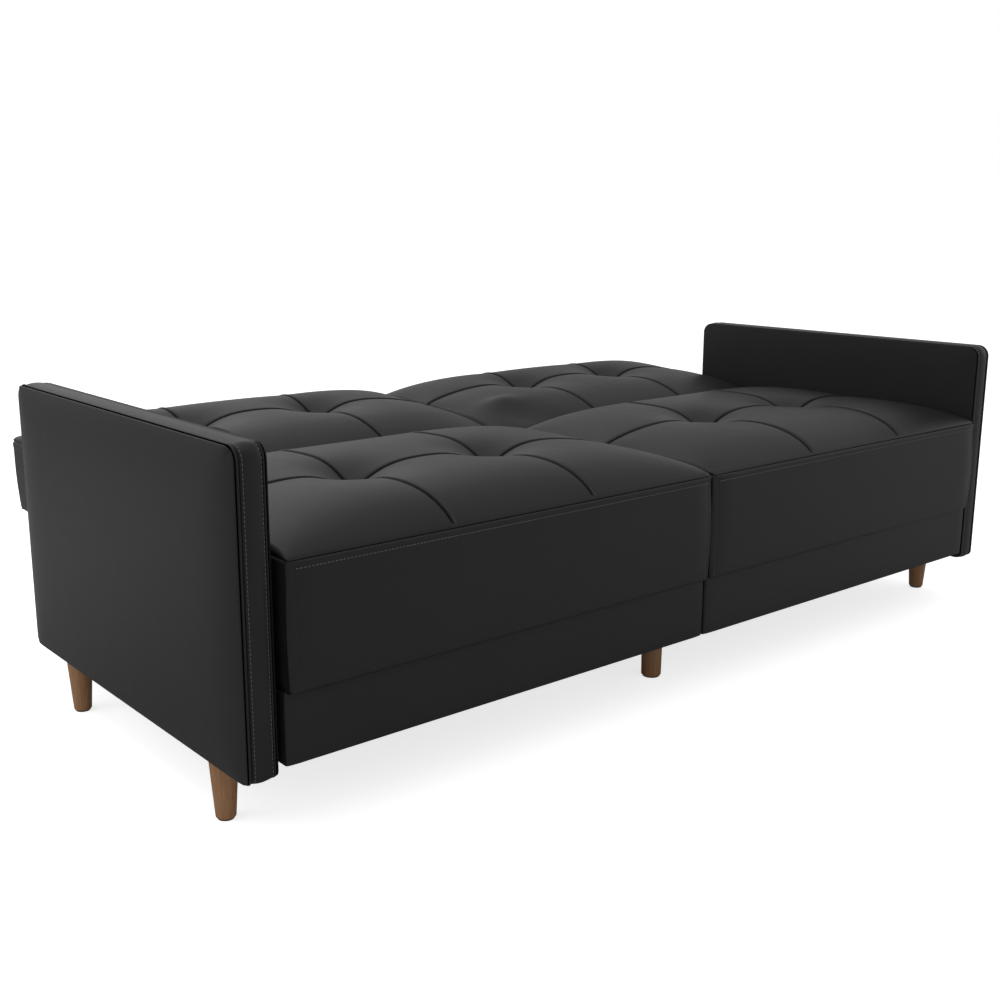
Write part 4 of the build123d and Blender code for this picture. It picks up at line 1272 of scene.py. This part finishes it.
def arm_pad(name, seam_x, face_x, shape):
    """A side panel that is rolled over at its rim and crowned towards its middle."""
    rounded, rolled, crowned = shape
    low = (min(seam_x, face_x), ARM_FRONT, ARM_FOOT)
    high = (max(seam_x, face_x), ARM_REAR, ARM_TOP)
    pad = block(name, low, high)
    cut_across(pad, 1, stations(from_ends(ARM_FRONT, ARM_REAR, RIM_ROWS), PAD_COARSE))
    cut_across(pad, 2, stations(from_ends(ARM_FOOT, ARM_TOP, RIM_ROWS), PAD_COARSE))
    x, y, z = read_points(pad).T
    new_y, new_z, inside = arm_plan(y, z)
    outwards = math.copysign(1, face_x - seam_x)
    on_face = np.abs(x - face_x) < TOUCH
    turn = np.clip(1 - inside / RIM_ROUND, 0, 1)
    drop = rounded * (1 - np.sqrt(1 - turn**2 * RIM_STEEP))
    roll_y = rim_roll(np.minimum(y - ARM_FRONT, ARM_REAR - y))
    roll_z = FLATTER_TOP * rim_roll(np.minimum(z - ARM_FOOT, ARM_TOP - z))
    drop = drop + rolled * (roll_y**ROLL_BLEND + roll_z**ROLL_BLEND) ** (1 / ROLL_BLEND)
    drop = drop + crowned * (1 - crown(y, ARM_FRONT, ARM_REAR) * crown(z, ARM_FOOT, ARM_TOP))
    x = x - np.where(on_face, outwards * drop, 0)
    out_y, out_z = way_out(new_y, new_z)
    inset = RIM_INSET * np.clip(1 - inside / INSET_REACH, 0, 1)
    drawn = np.where(on_face, inset, SEAM_DRAW * (inside < TOUCH))
    write_points(pad, x, new_y - out_y * drawn, new_z - out_z * drawn)
    face_outwards(pad)
    smooth(pad, sharp_over=70)
    return show(pad)


outer_pad = arm_pad("right_arm_outer_pad", outer_low.x, outer_high.x + OUTER_PROUD, OUTER_SHAPE)
inner_pad = arm_pad("right_arm_inner_pad", inner_high.x, inner_low.x - INNER_PROUD, INNER_SHAPE)

# %% Strip round the arm
STRIP_ROWS = [-4.4, 0, 1, 2.5, 3.5, 4.5, 8, 14, 20, 26, 30, 33, 34, 35, 37.2, 39, 45.4]
STRIP_OUTS = [-4.2, -3.4, -1.0, 0.0, -0.3, 0.1, 0.9, 1.6, 1.9, 1.6, 1.0, 0.3, -0.2, 0.1, -0.9, -3.8, -4.3]
STRIP_WALL = 3 * MM
strip_start = (strip_low.x + STRIP_ROWS[0] * MM, ARM_FRONT, ARM_FOOT)
strip_end = (strip_low.x + STRIP_ROWS[-1] * MM, ARM_REAR, ARM_TOP)
strip = block("right_arm_strip", strip_start, strip_end)
for level, radius in ((ARM_TOP, TOP_RADIUS), (ARM_FOOT, FOOT_RADIUS)):
    bevel_edges(strip, radius, 10, lambda a, b: abs(a.x - b.x) > LONG and on_level(level, a, b))
pick(strip, "FACE", lambda face: abs(face.normal.x) > FACING)
bpy.ops.mesh.delete(type="FACE")
leave_edit()
cut_across(strip, 0, [strip_low.x + row * MM for row in STRIP_ROWS[1:-1]])
x, y, z = read_points(strip).T
out = np.interp((x - strip_low.x) / MM, STRIP_ROWS, STRIP_OUTS) * MM
out_y, out_z = way_out(y, z)
write_points(strip, x, y + out_y * out, z + out_z * out)
face_outwards(strip)
give_wall(strip, STRIP_WALL)
smooth(strip, sharp_over=50)
show(strip)

# %% Piping in the arm's seams
OUTER_PIPING = (3.4 * MM, 2.4 * MM, 1.0 * MM)  # outside the strip, radius and how far it stands proud
INNER_PIPING = (1.6 * MM, 1.7 * MM, 0.2 * MM)


def arm_line(name, x, inset):
    """The arm's outline as a closed curve, a little inside the edge."""
    bpy.ops.object.select_all(action="DESELECT")
    middle = (x, ARM_MIDDLE_Y, ARM_MIDDLE_Z)
    bpy.ops.mesh.primitive_plane_add(size=1, location=middle, rotation=(0, math.pi / 2, 0))
    line = bpy.context.object
    line.name = name
    line.scale = (ARM_TOP - ARM_FOOT - 2 * inset, ARM_REAR - ARM_FRONT - 2 * inset, 1)
    settle(line)
    for level, radius in ((ARM_TOP - inset, TOP_RADIUS), (ARM_FOOT + inset, FOOT_RADIUS)):
        pick(line, "VERT", lambda corner: on_level(level, corner))
        bpy.ops.mesh.bevel(offset=radius - inset, segments=12, affect="VERTICES")
        leave_edit()
    edit_all(line)
    bpy.ops.mesh.delete(type="ONLY_FACE")
    leave_edit()
    bpy.ops.object.convert(target="CURVE")
    return bpy.context.object


def piping(name, x, radius, proud):
    cord = arm_line(name, x, radius - proud)
    cord.data.bevel_depth = radius
    cord.data.bevel_resolution = 3
    bpy.ops.object.convert(target="MESH")
    cord = bpy.context.object
    face_outwards(cord)
    smooth(cord)
    return show(cord)


away, radius, proud = OUTER_PIPING
outer_piping = piping("right_arm_outer_piping", strip_high.x + away, radius, proud)
away, radius, proud = INNER_PIPING
inner_piping = piping("right_arm_inner_piping", strip_low.x - away, radius, proud)

# %% [markdown]
# ## Topstitching
#
# Light stitches run beside the arm's seams and under the top seam of the seat. One stitch is a short rod
# with bevelled ends. An Array repeats it at the stitch's pitch, and on the arm a Curve modifier bends the
# row round the outline. Each stitch has only a few faces, because there are hundreds of them.

# %% Stitches
STITCH_PITCH = 7.1 * MM
STITCH_LENGTH = 4.4 * MM
STITCH_RADIUS = 0.62 * MM
STITCH_BEVEL = 0.35 * MM
OUTER_STITCHING = (34 * MM, 0.25 * MM)  # place on the strip, and depth of the stitch's middle in it
INNER_STITCHING = (2.4 * MM, 0.35 * MM)


def stitch_row(name, count):
    """A row of short rods along X that starts at the origin."""
    row = rod((STITCH_LENGTH / 2, 0, 0), STITCH_RADIUS, STITCH_LENGTH, vertices=6)
    row.name = name
    bevel_edges(row, STITCH_BEVEL, 1, lambda a, b: abs(a.x - b.x) < TOUCH)
    repeat = row.modifiers.new("repeat", "ARRAY")
    repeat.use_relative_offset = False
    repeat.use_constant_offset = True
    repeat.constant_offset_displace = (STITCH_PITCH, 0, 0)
    repeat.count = count
    return row


def arm_stitches(name, place, sunk):
    """A row of stitches round the arm, on the strip."""
    path = arm_line(name + "_path", strip_low.x + place, sunk)
    length = sum(spline.calc_length() for spline in path.data.splines)
    row = stitch_row(name, int(length / STITCH_PITCH))
    follow = row.modifiers.new("follow", "CURVE")
    follow.object = path
    apply_modifiers(row)
    bpy.data.objects.remove(path)
    smooth(row, sharp_over=40)
    return show(row)


outer_stitches = arm_stitches("right_arm_outer_stitching", *OUTER_STITCHING)
inner_stitches = arm_stitches("right_arm_inner_stitching", *INNER_STITCHING)

# %% Copy the arm to the left and hand both over
arm_pieces = [
    (outer_pad, "arm_outer_pad", leatherette, ["arm_outer_panel"]),
    (inner_pad, "arm_inner_pad", leatherette, ["arm_inner_panel"]),
    (strip, "arm_strip", leatherette, ["arm_boxing"]),
    (outer_piping, "arm_outer_piping", leatherette, ["arm_welts"]),
    (inner_piping, "arm_inner_piping", leatherette, ["arm_welts"]),
    (outer_stitches, "arm_outer_stitching", thread, []),
    (inner_stitches, "arm_inner_stitching", thread, []),
]
for piece, name, finish, replaced in arm_pieces:
    twin = mirrored_copy(piece, "left_" + name)
    for hand, made in (("right", piece), ("left", twin)):
        deliver(made, "sofa_frame", "leatherette", finish, *[f"{hand}_{node}" for node in replaced])
print("arms done")

# %% Stitches under the seat's top seam
STITCH_INSET = 14 * MM  # from each end of the seat
STITCH_DROP = 11.5 * MM
STITCH_PROUD = 0.3 * MM  # of the stitch's middle before the cloth
run = CUSHION_WIDTH - 2 * STITCH_INSET
for hand, side in HANDS:
    row = stitch_row(f"{hand}_seat_stitching", int(run / STITCH_PITCH))
    apply_modifiers(row)
    start = (side * HALF_CENTRE - run / 2, seat_low.y - STITCH_PROUD, SEAM_Z - STITCH_DROP)
    write_points(row, read_points(row) + start)
    smooth(row, sharp_over=40)
    deliver(row, "sofa_frame", "leatherette", thread)
print("seat stitches", int(run / STITCH_PITCH), "in each row")

# %% [markdown]
# ## Base, legs, rear panels and dust cloths
#
# The base is a board frame wrapped in the same leatherette, drawn tight, so its edges are crisper than
# the seat's. It starts as a block, loses its bottom, and its top is opened by an inset so that a narrow
# return covers the boards. The legs are turned cones. A padded panel closes the rear of each back, and a
# thin black cloth closes the base from below, sagging a little between its staples.

# %% Wrapped base
BASE_RADIUS = 4 * MM  # of the upright edges
BASE_TOP_RADIUS = 2 * MM
RETURN = 44 * MM
BASE_LEVELS = [1, 2.5, 5, 25, 60, 95]
BASE_END_ROWS = [6, 9, 13, 18, 24, 31]
BASE_TURN = 1.8 * MM  # how far the base's front turns back at its ends
BASE_TURN_REACH = 24 * MM
BASE_TUCK = (1.6 * MM, 5 * MM)  # depth and height of the tuck along the foot
BASE_BELLY = 0.9 * MM
BASE_WALL = 2 * MM
base_low, base_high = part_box("right_base_cover")
wrap = block("right_base_wrap", base_low, base_high)
bevel_edges(wrap, BASE_RADIUS, 5, lambda a, b: abs(a.z - b.z) > LONG)
bevel_edges(wrap, BASE_TOP_RADIUS, 3, lambda a, b: on_level(base_high.z, a, b))
for end in (base_high.z, base_low.z):
    pick(wrap, "FACE", lambda face: on_level(end, face.center) and abs(face.normal.z) > FACING)
    if end == base_high.z:
        bpy.ops.mesh.inset(thickness=RETURN)
    bpy.ops.mesh.delete(type="FACE")
    leave_edit()
cut_across(wrap, 2, [base_low.z + row * MM for row in BASE_LEVELS])
for row in BASE_END_ROWS:
    cut_across(wrap, 0, [base_low.x + row * MM, base_high.x - row * MM])
x, y, z = read_points(wrap).T
up = z - base_low.z
rise = np.clip(up / (base_high.z - base_low.z), 0, 1)
tuck_depth, tuck_height = BASE_TUCK
tuck = tuck_depth * np.clip(1 - up / tuck_height, 0, 1) ** 2
belly = BASE_BELLY * np.sin(math.pi * rise) - tuck
from_end = np.minimum(x - base_low.x, base_high.x - x)
turned = BASE_TURN * np.clip(1 - from_end / BASE_TURN_REACH, 0, 1) ** TURN_POWER
y = y + np.where(np.abs(y - base_low.y) < BASE_RADIUS, turned - belly, 0)
y = y + np.where(np.abs(y - base_high.y) < BASE_RADIUS, belly, 0)
write_points(wrap, x, y, z)
face_outwards(wrap)
give_wall(wrap, BASE_WALL)
smooth(wrap, sharp_over=40)
for hand, made in (("left", mirrored_copy(wrap, "left_base_wrap")), ("right", wrap)):
    deliver(made, "sofa_frame", "leatherette", leatherette, f"{hand}_base_cover")
    show(made)

# %% Turned legs
FOOT_SHARE = {"left": 17 / 24.5, "right": 17 / 24.5, "centre": 21 / 22.5}  # foot to top of each leg
LEG_FOOT_SOFT = 2.2 * MM
LEG_TOP_SOFT = 0.8 * MM
LEG_CUTS = 6


def turned_leg(name, node, share):
    """A cone of the CAD leg's size with a softened foot and top."""
    low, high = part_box(node)
    middle = (low + high) / 2
    height = high.z - low.z
    top = (high.x - low.x) / 2
    foot = top * share
    bpy.ops.object.select_all(action="DESELECT")
    bpy.ops.mesh.primitive_cone_add(vertices=64, radius1=foot, radius2=top, depth=height, location=middle)
    leg = settle(bpy.context.object)
    leg.name = name
    for level, soft in ((low.z, LEG_FOOT_SOFT), (high.z, LEG_TOP_SOFT)):
        bevel_edges(leg, soft, 4, lambda a, b: on_level(level, a, b))
    cut_across(leg, 2, [low.z + height * k / LEG_CUTS for k in range(1, LEG_CUTS)])
    smooth(leg, sharp_over=35)
    return show(deliver(leg, "sofa_frame", "leg_wood", turned_wood, node))


for spot in ("front", "rear"):
    for place, share in FOOT_SHARE.items():
        turned_leg(f"{spot}_{place}_turned_leg", f"{spot}_{place}_leg", share)

# %% Rear panels of the backs
PANEL_INSET = 26.5 * MM
PANEL_THICK = 3 * MM
PANEL_PROUD = 2.5 * MM
PANEL_SUNK = 0.4 * MM  # of its rim
PANEL_ROWS = [1.5, 4, 8, 14, 22]
PANEL_RIM = 22 * MM
PANEL_COARSE = 40 * MM
for hand, side in HANDS:
    half = HALF_WIDTH - PANEL_INSET
    start = PANEL_INSET
    end = BACK["length"] - PANEL_INSET
    under = -BACK["thickness"]
    panel = block(f"{hand}_back_rear_pad", (-half, start, under), (half, end, under + PANEL_THICK))
    cut_across(panel, 0, stations(from_ends(-half, half, PANEL_ROWS), PANEL_COARSE))
    cut_across(panel, 1, stations(from_ends(start, end, PANEL_ROWS), PANEL_COARSE))
    x, s, h = read_points(panel).T
    inside = np.minimum(half - np.abs(x), np.minimum(s - start, end - s))
    fill = np.sqrt(1 - (1 - np.clip(inside / PANEL_RIM, 0, 1)) ** 2)
    h = h - np.where(h < under + PANEL_THICK / 2, PANEL_PROUD * fill - PANEL_SUNK, 0)
    write_points(panel, place_back(np.stack([x, s, h], axis=1), side * HALF_CENTRE))
    face_outwards(panel)
    smooth(panel, sharp_over=50)
    deliver(panel, f"{hand}_back", "leatherette", leatherette, f"{hand}_back_rear_panel")
    show(panel)

# %% Dust cloths
DUST_INNER = 5.5 * MM  # from the middle of the sofa
DUST_SAG = 3.0 * MM
SAG_POWER = 0.7
DUST_RIPPLE = 0.5 * MM
RIPPLE_WAVES = ((26, 9), (-5, 17))  # turns of two crossing waves, across and along
DUST_COLUMNS = 40
DUST_ROWS = 26
dust_low, dust_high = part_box("dust_covers")
for hand, side in HANDS:
    near, far = sorted((side * DUST_INNER, side * dust_high.x))
    cloth = block(f"{hand}_dust_cloth", (near, dust_low.y, dust_low.z), (far, dust_high.y, dust_high.z))
    cut_across(cloth, 0, np.linspace(near, far, DUST_COLUMNS)[1:-1])
    cut_across(cloth, 1, np.linspace(dust_low.y, dust_high.y, DUST_ROWS)[1:-1])
    x, y, z = read_points(cloth).T
    u = (x - near) / (far - near)
    v = (y - dust_low.y) / (dust_high.y - dust_low.y)
    slack = np.clip(np.sin(math.pi * u) * np.sin(math.pi * v), 0, 1)
    sag = DUST_SAG * slack**SAG_POWER
    first, second = [np.sin(across * u + along * v) for across, along in RIPPLE_WAVES]
    ripple = DUST_RIPPLE * first * second * slack
    write_points(cloth, x, y, z - sag - ripple)
    face_outwards(cloth)
    smooth(cloth, sharp_over=50)
    deliver(cloth, "sofa_frame", "dust_cloth", dust_cloth)
    show(cloth)
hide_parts("dust_covers")
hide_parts("dust_covers")
